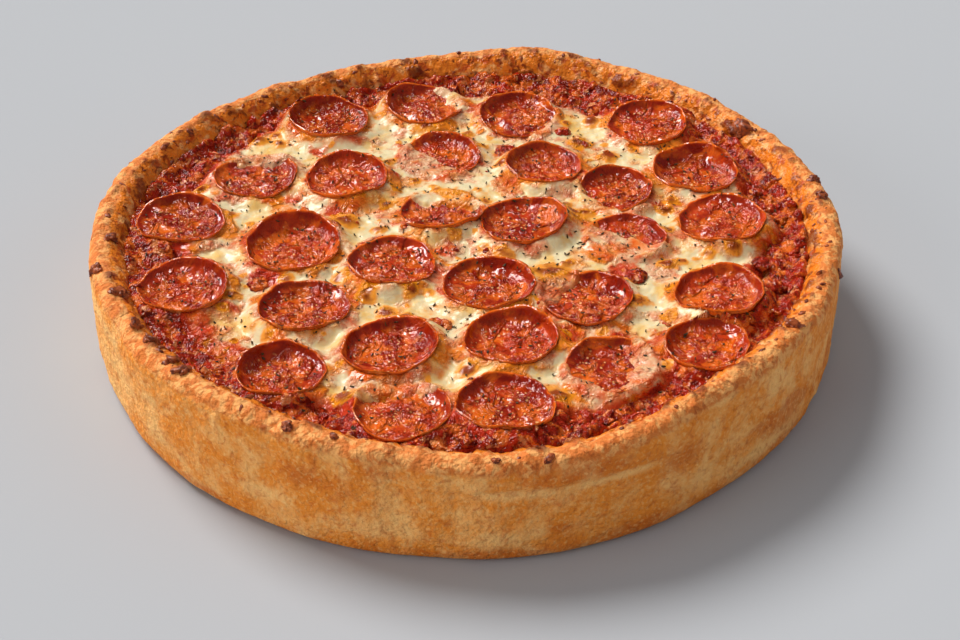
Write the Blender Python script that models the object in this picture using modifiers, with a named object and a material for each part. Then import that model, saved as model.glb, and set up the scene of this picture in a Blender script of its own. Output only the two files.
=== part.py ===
"""Deep dish pepperoni pizza, whole and uncut.

A tall round of dough with a raised rim holds a layer of chunky tomato sauce. A sheet of
melted mozzarella lies on the sauce and leaves a red band showing inside the rim. Cupped
slices of pepperoni and a few roasted tomato chunks are seated in the cheese.

Metres, +Z up. The origin is at the centre of the flat underside.
"""

import math

import bmesh
import bpy
from mathutils import Matrix, Vector, noise

OBJECT_NAME = "deep_dish_pizza"
MM = 0.001

# Dough.
RIM_RADIUS = 0.150
RIM_HEIGHT = 0.0478
RIM_WIDTH = 0.0095
RIM_CROWN = 0.0042
WALL_BULGE = 0.0016
BASE_EDGE_RADIUS = 0.006
RECESS_RADIUS = 0.1355
RECESS_FLOOR = 0.028
DOUGH_STEPS = 64
# Lobes that make the round outline uneven: how many, how far, and their direction in degrees.
LOBES = ((2, 0.0018, 35), (3, 0.0018, 46), (4, 0.0012, -16), (5, 0.0007, 4))
# Rises and dips of the rim: direction and half width in degrees, height.
RIM_WAVES = ((-85, 24, -0.0036), (-125, 20, 0.0022), (-45, 24, 0.0030), (80, 18, 0.0030))
# Shallow upright creases in the wall: direction and half width in degrees, depth.
CREASES = (
    (-152, 9, 0.0010), (-118, 8, 0.0008), (-96, 8, 0.0012), (-52, 9, 0.0010), (-14, 10, 0.0008),
)
PINCH_COUNT = 17
PINCH_DEPTH = 0.0005
# The lip of the last dough fold: where it starts and ends, in degrees and in height.
FOLD_FROM, FOLD_TO = -104, -56
FOLD_LOW, FOLD_HIGH = 0.035, 0.039
FOLD_STEP = 0.006
FOLD_DEPTH = 0.0013

# Filling, at its levels above the table.
GAP = 0.0003
SEAT_MARGIN = 1.5 * GAP
SAUCE_UNDER_CHEESE = 0.0352
SAUCE_LEVEL = 0.0388
SAUCE_LUMP = 0.0007
SAUCE_LUMP_SPACING = 0.008
SAUCE_EDGE = 0.0012
SAUCE_STEPS = 56
CHEESE_RADIUS = 0.1235
CHEESE_LEVEL = 0.0396
CHEESE_CROWN = 0.0008
CHEESE_WAVE = 0.0005
CHEESE_WAVE_SPACING = 0.03
CHEESE_EDGE_RADIUS = 0.0022
CHEESE_STEPS = 48
# Tongues and bays of the cheese's outline, in the same form as the dough's lobes.
CHEESE_LOBES = ((3, 0.0022, 100), (5, 0.0020, 20), (8, 0.0014, 8), (11, 0.0010, 25))

# Pepperoni: thickness, cup depth and the level of a slice's underside at its middle.
SLICE_THICKNESS = 0.0014
SLICE_DEPTH = 0.0034
SLICE_LEVEL = 0.0387
# The floor ends at a share of the radius, and by then has risen by a share of the depth.
SLICE_FLOOR = 0.70
SLICE_FLOOR_RISE = 0.18
# The curled side is thicker at its foot, and its edge is cut on a slant.
SLICE_SIDE_FOOT = 0.0005
SLICE_EDGE_WIDTH = 0.0006
SLICE_EDGE_DROP = 0.0008
SLICE_STEPS = 14
# Lean of the outermost slices in degrees, how much it sways from slice to slice, and the radius
# over which a leaning slice is lifted clear.
SLICE_TILT = 3.0
SLICE_TILT_SWAY = 0.4
SLICE_TILT_TURNS = 7
SLICE_LIFT_RADIUS = 0.016
# The slices as they were laid, ring by ring: direction in degrees, distance and radius in mm.
SLICE_RINGS = (
    ((3, 104, 18), (25, 107, 17.5), (47, 117, 17.5), (77, 98, 17.5), (101, 106, 17.5),
     (125, 109, 17.5), (155, 100, 17.5), (177, 118, 17.5), (201, 118, 17.5), (235, 117, 16),
     (259, 120, 17.5), (277, 116, 17.5), (300, 106, 16), (318, 120, 15.5), (334, 108, 17.5)),
    ((26, 69, 15.5), (57, 60, 16.5), (101, 61, 16), (143, 65, 17.5), (190, 71, 19),
     (222, 84, 17.5), (251, 86, 17.5), (282, 79, 17), (313, 67, 17), (355, 64, 15.5)),
    ((11, 23, 17.5), (131, 17, 16.5), (220, 39, 17.5), (281, 42, 17.5)),
)

# Tomato chunks: direction in degrees, distance, length and width in mm, and turn in degrees.
TOMATO_HEIGHT = 0.0024
TOMATO_LEVEL = 0.0402
TOMATO_UNEVEN = 0.16
TOMATO_GRAIN = 1.7
TOMATO_CHUNKS = ((76, 68, 10, 9, 20), (335, 73, 12, 9, 70), (349, 119, 9, 8, 0),
                 (260, 65, 13, 9, -20), (204, 90, 10, 8, 40), (63, 93, 9, 5, 15))

COLOURS = {
    "crust": (0.62, 0.33, 0.12, 1.0),
    "sauce": (0.36, 0.04, 0.015, 1.0),
    "cheese": (0.86, 0.66, 0.34, 1.0),
    "pepperoni": (0.42, 0.075, 0.03, 1.0),
    "tomato": (0.45, 0.06, 0.03, 1.0),
}
ROUGHNESS = {"crust": 0.85, "sauce": 0.3, "cheese": 0.35, "pepperoni": 0.3, "tomato": 0.3}


def clear_scene():
    for obj in list(bpy.data.objects):
        bpy.data.objects.remove(obj, do_unlink=True)


def new_collection(name, cutters=False):
    collection = bpy.data.collections.new(name)
    bpy.context.scene.collection.children.link(collection)
    collection.hide_render = cutters
    return collection


def finish_material(kind):
    name = kind + "_finish"
    if name in bpy.data.materials:
        return bpy.data.materials[name]
    material = bpy.data.materials.new(name)
    material.use_nodes = True
    shader = material.node_tree.nodes["Principled BSDF"]
    shader.inputs["Base Color"].default_value = COLOURS[kind]
    shader.inputs["Roughness"].default_value = ROUGHNESS[kind]
    shader.inputs["Metallic"].default_value = 0.0
    return material


def wrapped(degrees):
    """An angle in degrees, brought to the half turn either side of 0."""
    return (degrees + 180) % 360 - 180


def swell(angle, direction, half_width):
    """1 in a direction, falling smoothly to 0 at its half width. Angle in radians."""
    offset = abs(wrapped(math.degrees(angle) - direction)) / half_width
    return 0.5 + 0.5 * math.cos(math.pi * min(offset, 1.0))


def lobes(angle, table):
    """How far an uneven outline stands out from its circle."""
    return sum(size * math.cos(count * (angle - math.radians(direction)))
               for count, size, direction in table)


def smooth_step(low, high, value):
    share = min(max((value - low) / (high - low), 0.0), 1.0)
    return share * share * (3 - 2 * share)


def arc(middle_radius, middle_height, half_width, half_height, start, end, steps):
    """Points of an elliptical arc in the section plane, angles in degrees."""
    turns = [math.radians(start + (end - start) * i / steps) for i in range(steps + 1)]
    return [(middle_radius + half_width * math.cos(turn), middle_height + half_height * math.sin(turn))
            for turn in turns]


def turned(name, profile, steps, collection):
    """A closed solid: the profile, from its top centre down the outer side, turned round Z."""
    mesh = bpy.data.meshes.new(name)
    points = [(radius, 0.0, height) for radius, height in profile]
    mesh.from_pydata(points, [(i, i + 1) for i in range(len(points) - 1)], [])
    obj = bpy.data.objects.new(name, mesh)
    collection.objects.link(obj)
    screw = obj.modifiers.new("turn", "SCREW")
    screw.steps = screw.render_steps = steps
    screw.use_merge_vertices = True
    screw.merge_threshold = 0.0001
    bpy.context.view_layer.update()
    graph = bpy.context.evaluated_depsgraph_get()
    obj.data = bpy.data.meshes.new_from_object(obj.evaluated_get(graph))
    obj.data.name = name
    obj.modifiers.clear()
    bpy.data.meshes.remove(mesh)
    return obj


def reshape(obj, rule):
    """Moves each point by a rule of its angle, radius and height."""
    for vertex in obj.data.vertices:
        x, y, z = vertex.co
        angle, radius = math.atan2(y, x), math.hypot(x, y)
        radius, z = rule(angle, radius, z)
        vertex.co = (radius * math.cos(angle), radius * math.sin(angle), z)
    obj.data.update()


def dress(obj, kind):
    obj.data.materials.clear()
    obj.data.materials.append(finish_material(kind))
    obj.data.shade_smooth()
    obj.data.set_sharp_from_angle(angle=math.radians(50))


def dough_profile():
    """Recess floor, inner wall, rounded rim, barrelled outer wall and rounded base edge."""
    wall_top = RIM_HEIGHT - RIM_CROWN
    inner = [
        (0.0, RECESS_FLOOR),
        (RECESS_RADIUS, RECESS_FLOOR),
        (RECESS_RADIUS + GAP, SAUCE_LEVEL + SAUCE_LUMP + GAP),
    ]
    rim = arc(RIM_RADIUS - RIM_WIDTH / 2, wall_top, RIM_WIDTH / 2, RIM_CROWN, 165, 0, 5)
    wall = [(RIM_RADIUS + WALL_BULGE * math.sin(math.pi * share), wall_top * (1 - share))
            for share in (0.22, 0.42, 0.62)]
    edge_middle = RIM_RADIUS + WALL_BULGE / 2 - BASE_EDGE_RADIUS
    edge = arc(edge_middle, BASE_EDGE_RADIUS, BASE_EDGE_RADIUS, BASE_EDGE_RADIUS, 0, -90, 3)
    return inner + rim + wall + edge + [(0.0, 0.0)]


def fold_lip(angle, height):
    """The wall stands out above a line that climbs round the front, where the dough laps over."""
    along = (wrapped(math.degrees(angle)) - FOLD_FROM) / (FOLD_TO - FOLD_FROM)
    if not 0 < along < 1:
        return 0.0
    line = FOLD_LOW + (FOLD_HIGH - FOLD_LOW) * along
    lip = smooth_step(line - FOLD_STEP, line, height)
    return FOLD_DEPTH * math.sin(math.pi * along) * lip


def dough_rule(angle, radius, height):
    outside = smooth_step(RIM_RADIUS - RIM_WIDTH, RIM_RADIUS - RIM_WIDTH / 2, radius)
    upper = smooth_step(SAUCE_LEVEL, RIM_HEIGHT, height)
    stretch = lobes(angle, LOBES) * radius / RIM_RADIUS
    crease = sum(depth * swell(angle, direction, width) for direction, width, depth in CREASES)
    low = smooth_step(0.0, BASE_EDGE_RADIUS, height)
    side = (fold_lip(angle, height) - crease * low) * outside
    pinch = PINCH_DEPTH * math.sin(PINCH_COUNT * angle + 2 * math.sin(3 * angle)) * upper
    wave = sum(rise * swell(angle, direction, width) for direction, width, rise in RIM_WAVES)
    return radius + stretch + side + pinch * outside, height + (wave + pinch) * upper


def make_crust(collection):
    crust = turned("crust", dough_profile(), DOUGH_STEPS, collection)
    reshape(crust, dough_rule)
    dress(crust, "crust")


def cheese_edge(angle, share):
    """How far a ring moves with the cheese's uneven outline: nothing at the middle."""
    return lobes(angle, CHEESE_LOBES) * share


def lump(angle, radius, scale, seed):
    """Smooth unevenness between -1 and 1 at a point of the filling."""
    place = Vector((radius * math.cos(angle), radius * math.sin(angle), seed)) / scale
    return max(-1.0, min(1.0, 1.6 * noise.noise(place)))


def make_sauce(collection):
    """A flat disc under the cheese that rises to a lumpy band beside the rim."""
    band_inner = CHEESE_RADIUS + GAP
    band_outer = RECESS_RADIUS - GAP
    band_middle = (band_inner + band_outer) / 2
    underside = RECESS_FLOOR + GAP
    profile = [
        (0.0, SAUCE_UNDER_CHEESE),
        (band_inner / 2, SAUCE_UNDER_CHEESE),
        (band_inner, SAUCE_UNDER_CHEESE),
        (band_inner + SAUCE_EDGE, SAUCE_LEVEL),
        (band_middle, SAUCE_LEVEL),
        (band_outer, SAUCE_LEVEL),
        (band_outer - 2 * GAP, underside),
        (0.0, underside),
    ]
    sauce = turned("sauce", profile, SAUCE_STEPS, collection)

    def rule(angle, radius, height):
        share = 1 - smooth_step(band_inner + SAUCE_EDGE, band_outer, radius)
        outline = cheese_edge(angle, share * radius / band_inner)
        raised = height > SAUCE_UNDER_CHEESE + GAP
        rise = SAUCE_LUMP * lump(angle, radius, SAUCE_LUMP_SPACING, 1.0) if raised else 0.0
        outline += lobes(angle, LOBES) * radius / RIM_RADIUS
        return radius + outline, height + rise

    reshape(sauce, rule)
    dress(sauce, "sauce")
    return sauce


def make_cheese(collection):
    """The melted sheet, slightly crowned, with a rounded uneven edge."""
    underside = SAUCE_UNDER_CHEESE + GAP
    rings = [CHEESE_RADIUS * share for share in (0.18, 0.36, 0.52, 0.66, 0.79, 0.9)]
    profile = [(0.0, CHEESE_LEVEL)] + [(radius, CHEESE_LEVEL) for radius in rings]
    edge = CHEESE_EDGE_RADIUS
    profile += arc(CHEESE_RADIUS - edge, CHEESE_LEVEL - edge, edge, edge, 90, 0, 2)
    profile += [(CHEESE_RADIUS - GAP, underside), (0.0, underside)]
    cheese = turned("cheese", profile, CHEESE_STEPS, collection)

    def rule(angle, radius, height):
        share = radius / CHEESE_RADIUS
        top = smooth_step(underside, CHEESE_LEVEL, height)
        wave = CHEESE_WAVE * lump(angle, radius, CHEESE_WAVE_SPACING, 5.0)
        crown = CHEESE_CROWN * (1 - share * share)
        outline = cheese_edge(angle, share) + lobes(angle, LOBES) * radius / RIM_RADIUS
        return radius + outline, height + (crown + wave) * top

    reshape(cheese, rule)
    dress(cheese, "cheese")
    return cheese


def slice_profile(radius):
    """A round of sausage, flat in the middle and curled up at its edge."""
    edge = SLICE_THICKNESS + SLICE_DEPTH
    floor = SLICE_FLOOR * radius
    rise = SLICE_FLOOR_RISE * SLICE_DEPTH
    return [
        (0.0, SLICE_THICKNESS),
        (floor, SLICE_THICKNESS + rise),
        (radius - SLICE_EDGE_WIDTH, edge),
        (radius, edge - SLICE_EDGE_DROP),
        (floor + SLICE_SIDE_FOOT, rise),
        (0.0, 0.0),
    ]


def seat_profile(radius):
    """The room a slice takes, filled up to above its edge and larger by the gap all round."""
    top = SLICE_THICKNESS + 2 * SLICE_DEPTH
    foot = SLICE_FLOOR * radius + SLICE_SIDE_FOOT
    return [
        (0.0, top),
        (radius + 2 * SEAT_MARGIN, top),
        (radius + SEAT_MARGIN, SLICE_DEPTH - SEAT_MARGIN),
        (foot + SEAT_MARGIN, SLICE_FLOOR_RISE * SLICE_DEPTH - SEAT_MARGIN),
        (0.0, -SEAT_MARGIN),
    ]


def slice_places():
    """Radius and place of every slice; the outer ring leans up towards the rim."""
    places = []
    for ring in SLICE_RINGS:
        for direction, distance, radius in ring:
            turn = math.radians(direction)
            outward = Vector((math.cos(turn), math.sin(turn), 0.0))
            share = distance * MM / RECESS_RADIUS
            sway = SLICE_TILT_SWAY * math.sin(SLICE_TILT_TURNS * direction)
            lean = math.radians(SLICE_TILT * (share * share + sway))
            level = SLICE_LEVEL + CHEESE_CROWN * (1 - share * share)
            lift = SLICE_LIFT_RADIUS * math.sin(abs(lean))
            spot = distance * MM * outward + Vector((0.0, 0.0, level + lift))
            across = Vector((-outward.y, outward.x, 0.0))
            place = Matrix.Translation(spot) @ Matrix.Rotation(-lean, 4, across)
            places.append((radius * MM, place))
    return places


def make_slices(collection, cutters):
    seats = []
    for number, (radius, place) in enumerate(slice_places(), start=1):
        sausage = turned(f"pepperoni_{number:02d}", slice_profile(radius), SLICE_STEPS, collection)
        sausage.matrix_world = place
        dress(sausage, "pepperoni")
        seat = turned(f"seat_{number:02d}", seat_profile(radius), SLICE_STEPS, cutters)
        seat.matrix_world = place
        seats.append(seat)
    return seats


def chunk_mesh(name, length, width, grow):
    """An uneven rounded lump."""
    mesh = bpy.data.meshes.new(name)
    shape = bmesh.new()
    bmesh.ops.create_icosphere(shape, subdivisions=2, radius=1.0)
    for vertex in shape.verts:
        grain = vertex.co * TOMATO_GRAIN + Vector((length, width, 0.0))
        uneven = 1 + TOMATO_UNEVEN * noise.noise(grain)
        size = Vector((length / 2 + grow, width / 2 + grow, TOMATO_HEIGHT + grow))
        vertex.co = vertex.co * size * uneven
    shape.to_mesh(mesh)
    shape.free()
    return mesh


def make_chunk(name, length, width, grow, place, collection):
    chunk = bpy.data.objects.new(name, chunk_mesh(name, length * MM, width * MM, grow))
    collection.objects.link(chunk)
    chunk.matrix_world = place
    return chunk


def make_tomatoes(collection, cutters):
    seats = []
    for number, (direction, distance, length, width, turn) in enumerate(TOMATO_CHUNKS, start=1):
        angle = math.radians(direction)
        spot = distance * MM * Vector((math.cos(angle), math.sin(angle), 0.0))
        spot.z = TOMATO_LEVEL
        place = Matrix.Translation(spot) @ Matrix.Rotation(math.radians(turn), 4, "Z")
        chunk = make_chunk(f"tomato_{number:02d}", length, width, 0.0, place, collection)
        dress(chunk, "tomato")
        seat = make_chunk(f"tomato_seat_{number:02d}", length, width, SEAT_MARGIN, place, cutters)
        seats.append(seat)
    return seats


def cut_seats(obj, seats):
    """Takes the room of every slice and chunk out of a layer."""
    for seat in seats:
        cut = obj.modifiers.new(seat.name, "BOOLEAN")
        cut.operation = "DIFFERENCE"
        cut.solver = "EXACT"
        cut.object = seat


def main():
    clear_scene()
    pizza = new_collection(OBJECT_NAME)
    cutters = new_collection("seat_cutters", cutters=True)
    make_crust(pizza)
    sauce = make_sauce(pizza)
    cheese = make_cheese(pizza)
    seats = make_slices(pizza, cutters) + make_tomatoes(pizza, cutters)
    for seat in seats:
        seat.hide_render = True
        seat.display_type = "WIRE"
    cut_seats(sauce, seats)
    cut_seats(cheese, seats)


main()
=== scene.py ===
"""Looks of a whole deep dish pepperoni pizza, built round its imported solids.

The dough, sauce, cheese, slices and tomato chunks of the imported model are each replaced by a
fine mesh that keeps their places and sizes. Crumbs, herbs and small tomato chunks are added.
Lengths are in metres and angles in degrees, unless a name says otherwise.
"""

from __future__ import annotations

import logging
import math
import random
from dataclasses import dataclass, field
from enum import Enum
from typing import Callable, Sequence

import bmesh
import bpy
import numpy as np
from mathutils import Euler, Matrix, Vector
from mathutils.bvhtree import BVHTree

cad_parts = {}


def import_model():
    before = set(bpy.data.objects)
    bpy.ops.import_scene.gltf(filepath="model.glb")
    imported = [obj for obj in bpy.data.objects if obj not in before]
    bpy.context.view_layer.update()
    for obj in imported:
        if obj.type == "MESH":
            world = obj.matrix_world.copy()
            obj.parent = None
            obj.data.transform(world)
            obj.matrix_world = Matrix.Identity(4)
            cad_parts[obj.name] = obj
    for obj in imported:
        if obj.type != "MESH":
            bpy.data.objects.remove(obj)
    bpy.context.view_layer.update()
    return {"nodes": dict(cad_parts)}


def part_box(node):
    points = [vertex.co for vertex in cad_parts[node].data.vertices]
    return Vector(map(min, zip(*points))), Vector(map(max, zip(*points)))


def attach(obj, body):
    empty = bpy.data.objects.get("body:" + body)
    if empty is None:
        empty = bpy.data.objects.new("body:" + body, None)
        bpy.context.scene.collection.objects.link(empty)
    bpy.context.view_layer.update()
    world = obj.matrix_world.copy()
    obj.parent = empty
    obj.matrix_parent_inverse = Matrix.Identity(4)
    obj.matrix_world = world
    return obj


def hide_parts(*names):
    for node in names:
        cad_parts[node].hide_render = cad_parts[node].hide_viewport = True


LOG = logging.getLogger("deep_dish_pizza")
Colour = tuple[float, float, float, float]
BODY = "root"


def srgb(red: int, green: int, blue: int) -> Colour:
    """The linear colour of an 8-bit display colour.

    Args:
        red: Red, 0 to 255.
        green: Green, 0 to 255.
        blue: Blue, 0 to 255.

    Returns:
        Linear red, green, blue and an alpha of 1.
    """
    def linear(value: int) -> float:
        """One channel as linear light."""
        share = value / 255
        return share / 12.92 if share <= 0.04045 else ((share + 0.055) / 1.055) ** 2.4

    return (linear(red), linear(green), linear(blue), 1.0)


# ---------------------------------------------------------------- fields of unevenness


def smooth(low: float, high: float, value: np.ndarray) -> np.ndarray:
    """0 below low, 1 above high and an even S between; low may be above high."""
    share = np.clip((value - low) / (high - low), 0.0, 1.0)
    return share * share * (3 - 2 * share)


def bell(value: np.ndarray, middle: float, width: float) -> np.ndarray:
    """A smooth hump of height 1 at middle, nearly gone 2 widths away."""
    return np.exp(-((value - middle) / width) ** 2)


def turn_between(angle: np.ndarray, direction: float) -> np.ndarray:
    """The turn in degrees from a direction to each angle in radians, -180 to 180."""
    return (np.degrees(angle) - direction + 180) % 360 - 180


RANDOM_TABLE = np.random.default_rng(20)
ORDER = RANDOM_TABLE.permutation(256)
SLOPES = RANDOM_TABLE.normal(size=(256, 3))
SLOPES /= np.linalg.norm(SLOPES, axis=1, keepdims=True)
SPREADS = RANDOM_TABLE.random((256, 3))
CORNERS = np.array([(x, y, z) for x in (0, 1) for y in (0, 1) for z in (0, 1)])
NEIGHBOURS = np.array([(x, y, z) for x in (-1, 0, 1) for y in (-1, 0, 1) for z in (-1, 0, 1)])
LAYER_SHIFT = np.array([7.31, 3.17, 5.53])
LUMP_SHIFT = np.array([2.7, 9.1, 4.3])
LUMP_RADIUS = 0.62


def polar(points: np.ndarray) -> tuple[np.ndarray, np.ndarray]:
    """Angle in radians and distance from the upright axis of each row of points."""
    return np.arctan2(points[:, 1], points[:, 0]), np.hypot(points[:, 0], points[:, 1])


def turned(angle: np.ndarray, radius: np.ndarray, height: np.ndarray) -> np.ndarray:
    """The points at angles in radians, distances from the upright axis and heights."""
    return np.column_stack([radius * np.cos(angle), radius * np.sin(angle), height])


def spot_at(angle: float, distance: float) -> tuple[float, float]:
    """The x and y of a spot at an angle in radians and a distance from the middle."""
    return distance * math.cos(angle), distance * math.sin(angle)


def scrambled(cells: np.ndarray) -> np.ndarray:
    """A number from 0 to 255 for each row of whole-numbered cells, the same each time."""
    return ORDER[(ORDER[(ORDER[cells[:, 0] & 255] + cells[:, 1]) & 255] + cells[:, 2]) & 255]


@dataclass(frozen=True)
class Uneven:
    """Smooth random unevenness in space, between about -1 and 1.

    Attributes:
        size: Distance between neighbouring swellings.
        seed: Which of the endless patterns is used.
        octaves: How many finer layers are added.
    """

    size: float
    seed: float = 0.0
    octaves: int = 3

    def at(self, points: np.ndarray) -> np.ndarray:
        """The value at each row of an (n, 3) array of points."""
        total, share, scale = np.zeros(len(points)), 1.0, 1 / self.size
        for octave in range(self.octaves):
            total += share * self._layer(points * scale + (self.seed + octave) * LAYER_SHIFT)
            share, scale = share * 0.52, scale * 2.1
        return total * 1.5

    @staticmethod
    def _layer(places: np.ndarray) -> np.ndarray:
        """One layer of gradient noise, its cells 1 apart."""
        whole = np.floor(places).astype(int)
        part = places - whole
        eased = part ** 3 * (part * (part * 6 - 15) + 10)
        total = np.zeros(len(places))
        for corner in CORNERS:
            slope = SLOPES[scrambled(whole + corner)]
            weight = np.where(corner == 1, eased, 1 - eased).prod(axis=1)
            total += weight * ((part - corner) * slope).sum(axis=1)
        return total


@dataclass(frozen=True)
class Pebbles:
    """Rounded lumps packed side by side, 0 between them and 1 at their tops.

    Attributes:
        size: Distance between neighbouring lumps.
        seed: Which of the endless patterns is used.
    """

    size: float
    seed: float = 0.0

    def at(self, points: np.ndarray) -> np.ndarray:
        """The value at each row of an (n, 3) array of points."""
        places = points / self.size + self.seed * LUMP_SHIFT
        whole = np.floor(places).astype(int)
        near = np.full(len(places), 9.0)
        for corner in NEIGHBOURS:
            cell = whole + corner
            seed_point = cell + SPREADS[scrambled(cell)]
            near = np.minimum(near, ((places - seed_point) ** 2).sum(axis=1))
        return np.clip(1 - near / LUMP_RADIUS ** 2, 0.0, 1.0)


# ---------------------------------------------------------------- shader graphs


class Graph:
    """Places and links the nodes of one shader tree."""

    def __init__(self, tree: bpy.types.NodeTree) -> None:
        """Starts on an existing tree."""
        self.tree = tree

    def add(self, kind: str, settings: dict[str, object] | None = None, **inputs: object) -> bpy.types.Node:
        """A new node with its settings, and its inputs linked or filled.

        Args:
            kind: The node's type, without the leading ShaderNode.
            settings: Properties of the node itself.
            **inputs: Socket values by name, with an underscore for each blank.

        Returns:
            The node.
        """
        node = self.tree.nodes.new("ShaderNode" + kind)
        for name, value in (settings or {}).items():
            setattr(node, name, value)
        for name, value in inputs.items():
            self.feed(node.inputs[name.replace("_", " ")], value)
        return node

    def feed(self, socket: bpy.types.NodeSocket, value: object) -> None:
        """Links a socket to the value if that is a socket too, and otherwise fills it."""
        if isinstance(value, bpy.types.NodeSocket):
            self.tree.links.new(value, socket)
        else:
            socket.default_value = value

    def place(self) -> bpy.types.NodeSocket:
        """Where the surface point is, in the object's own metres."""
        return self.add("TexCoord").outputs["Object"]

    def mask(self, name: str) -> bpy.types.NodeSocket:
        """A mask that the mesh carries point by point."""
        return self.add("Attribute", {"attribute_name": name}).outputs["Fac"]

    def math(self, operation: str, first: object, second: object,
             clamp: bool = False) -> bpy.types.NodeSocket:
        """The result of a sum on two values."""
        node = self.add("Math", {"operation": operation, "use_clamp": clamp})
        self.feed(node.inputs[0], first)
        self.feed(node.inputs[1], second)
        return node.outputs[0]

    def step(self, value: object, low: object, high: object) -> bpy.types.NodeSocket:
        """A smooth step from 0 at low to 1 at high."""
        settings = {"interpolation_type": "SMOOTHSTEP"}
        return self.add("MapRange", settings, Value=value, From_Min=low, From_Max=high).outputs[0]

    def blend(self, share: object, under: object, over: object) -> bpy.types.NodeSocket:
        """One colour laid over another by a share."""
        node = self.add("Mix", {"data_type": "RGBA"})
        for index, value in ((0, share), (6, under), (7, over)):
            self.feed(node.inputs[index], value)
        return node.outputs[2]

    def between(self, mask: object, first: float, second: float) -> bpy.types.NodeSocket:
        """A value that goes from first to second where a mask goes from 0 to 1."""
        return self.blend(mask, (first, first, first, 1.0), (second, second, second, 1.0))

    def noise(self, scale: object, detail: float, place: object = None) -> bpy.types.NodeSocket:
        """Noise from 0 to 1, scale being swellings for each metre."""
        return self.add("TexNoise", Vector=place or self.place(), Scale=scale, Detail=detail).outputs[0]

    def uneven(self, scale: float, detail: float, amount: float = 1.0) -> bpy.types.NodeSocket:
        """Noise about 0, its whole range being the amount."""
        return self.math("MULTIPLY", self.math("SUBTRACT", self.noise(scale, detail), 0.5), amount)

    def group(self, tree: bpy.types.NodeTree, **inputs: object) -> bpy.types.NodeSocket:
        """The result of a shared effect at the surface point, with its own values."""
        node = self.tree.nodes.new("ShaderNodeGroup")
        node.node_tree = tree
        for name, value in {"Vector": self.place(), **inputs}.items():
            self.feed(node.inputs[name.replace("_", " ")], value)
        return node.outputs[0]

    def bump(self, height: object, distance: float, strength: float = 1.0) -> bpy.types.NodeSocket:
        """The normal of a fine relief, distance being its depth."""
        return self.add("Bump", Height=height, Distance=distance, Strength=strength).outputs[0]


class Effects:
    """The shader groups that several finishes share."""

    def __init__(self) -> None:
        """Builds each group once."""
        self.patches = self._patches()
        self.flecks = self._flecks()
        self.relief = self._relief()

    @staticmethod
    def _tree(name: str, result: str,
              **inputs: float) -> tuple[Graph, dict[str, object], bpy.types.NodeSocket]:
        """A new group of a vector and some numbers.

        Args:
            name: The group's name.
            result: The name of what it puts out.
            **inputs: First value of each number by name, with an underscore for each blank.

        Returns:
            The graph, its inputs by name and the socket of its result.
        """
        tree = bpy.data.node_groups.new(name, "ShaderNodeTree")
        tree.interface.new_socket("Vector", in_out="INPUT", socket_type="NodeSocketVector")
        for number, value in inputs.items():
            socket = tree.interface.new_socket(number.replace("_", " "), in_out="INPUT",
                                               socket_type="NodeSocketFloat")
            socket.default_value = value
        tree.interface.new_socket(result, in_out="OUTPUT", socket_type="NodeSocketFloat")
        given = tree.nodes.new("NodeGroupInput").outputs
        out = tree.nodes.new("NodeGroupOutput").inputs[result]
        return Graph(tree), {socket.name: socket for socket in given if socket.name}, out

    def _patches(self) -> bpy.types.NodeTree:
        """Soft-edged patches: a mask that is 1 where a warped noise is high."""
        graph, given, out = self._tree("soft_patches", "Mask", Scale=50, From=0.45, To=0.6)
        pattern = graph.add("TexNoise", Vector=given["Vector"], Scale=given["Scale"], Detail=4.0,
                            Roughness=0.6, Distortion=0.6)
        graph.feed(out, graph.step(pattern.outputs[0], given["From"], given["To"]))
        return graph.tree

    def _flecks(self) -> bpy.types.NodeTree:
        """Small separate spots of uneven size."""
        graph, given, out = self._tree("small_flecks", "Mask", Scale=400, Reach=0.4)
        bent = graph.noise(given["Scale"], 2.0, given["Vector"])
        cells = graph.add("TexVoronoi", Vector=given["Vector"], Scale=given["Scale"], Randomness=1.0)
        uneven = graph.math("ADD", cells.outputs["Distance"], graph.math("MULTIPLY", bent, 0.5))
        room = graph.math("ADD", given["Reach"], 0.25)
        graph.feed(out, graph.math("DIVIDE", graph.math("SUBTRACT", room, uneven), 0.18, clamp=True))
        return graph.tree

    def _relief(self) -> bpy.types.NodeTree:
        """A height of coarse swellings with finer grain on them."""
        graph, given, out = self._tree("baked_relief", "Height", Coarse=300, Fine=1200, Fine_Share=0.4)
        coarse = graph.noise(given["Coarse"], 1.0, given["Vector"])
        fine = graph.noise(given["Fine"], 1.0, given["Vector"])
        graph.feed(out, graph.math("ADD", coarse, graph.math("MULTIPLY", fine, given["Fine Share"])))
        return graph.tree


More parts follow.
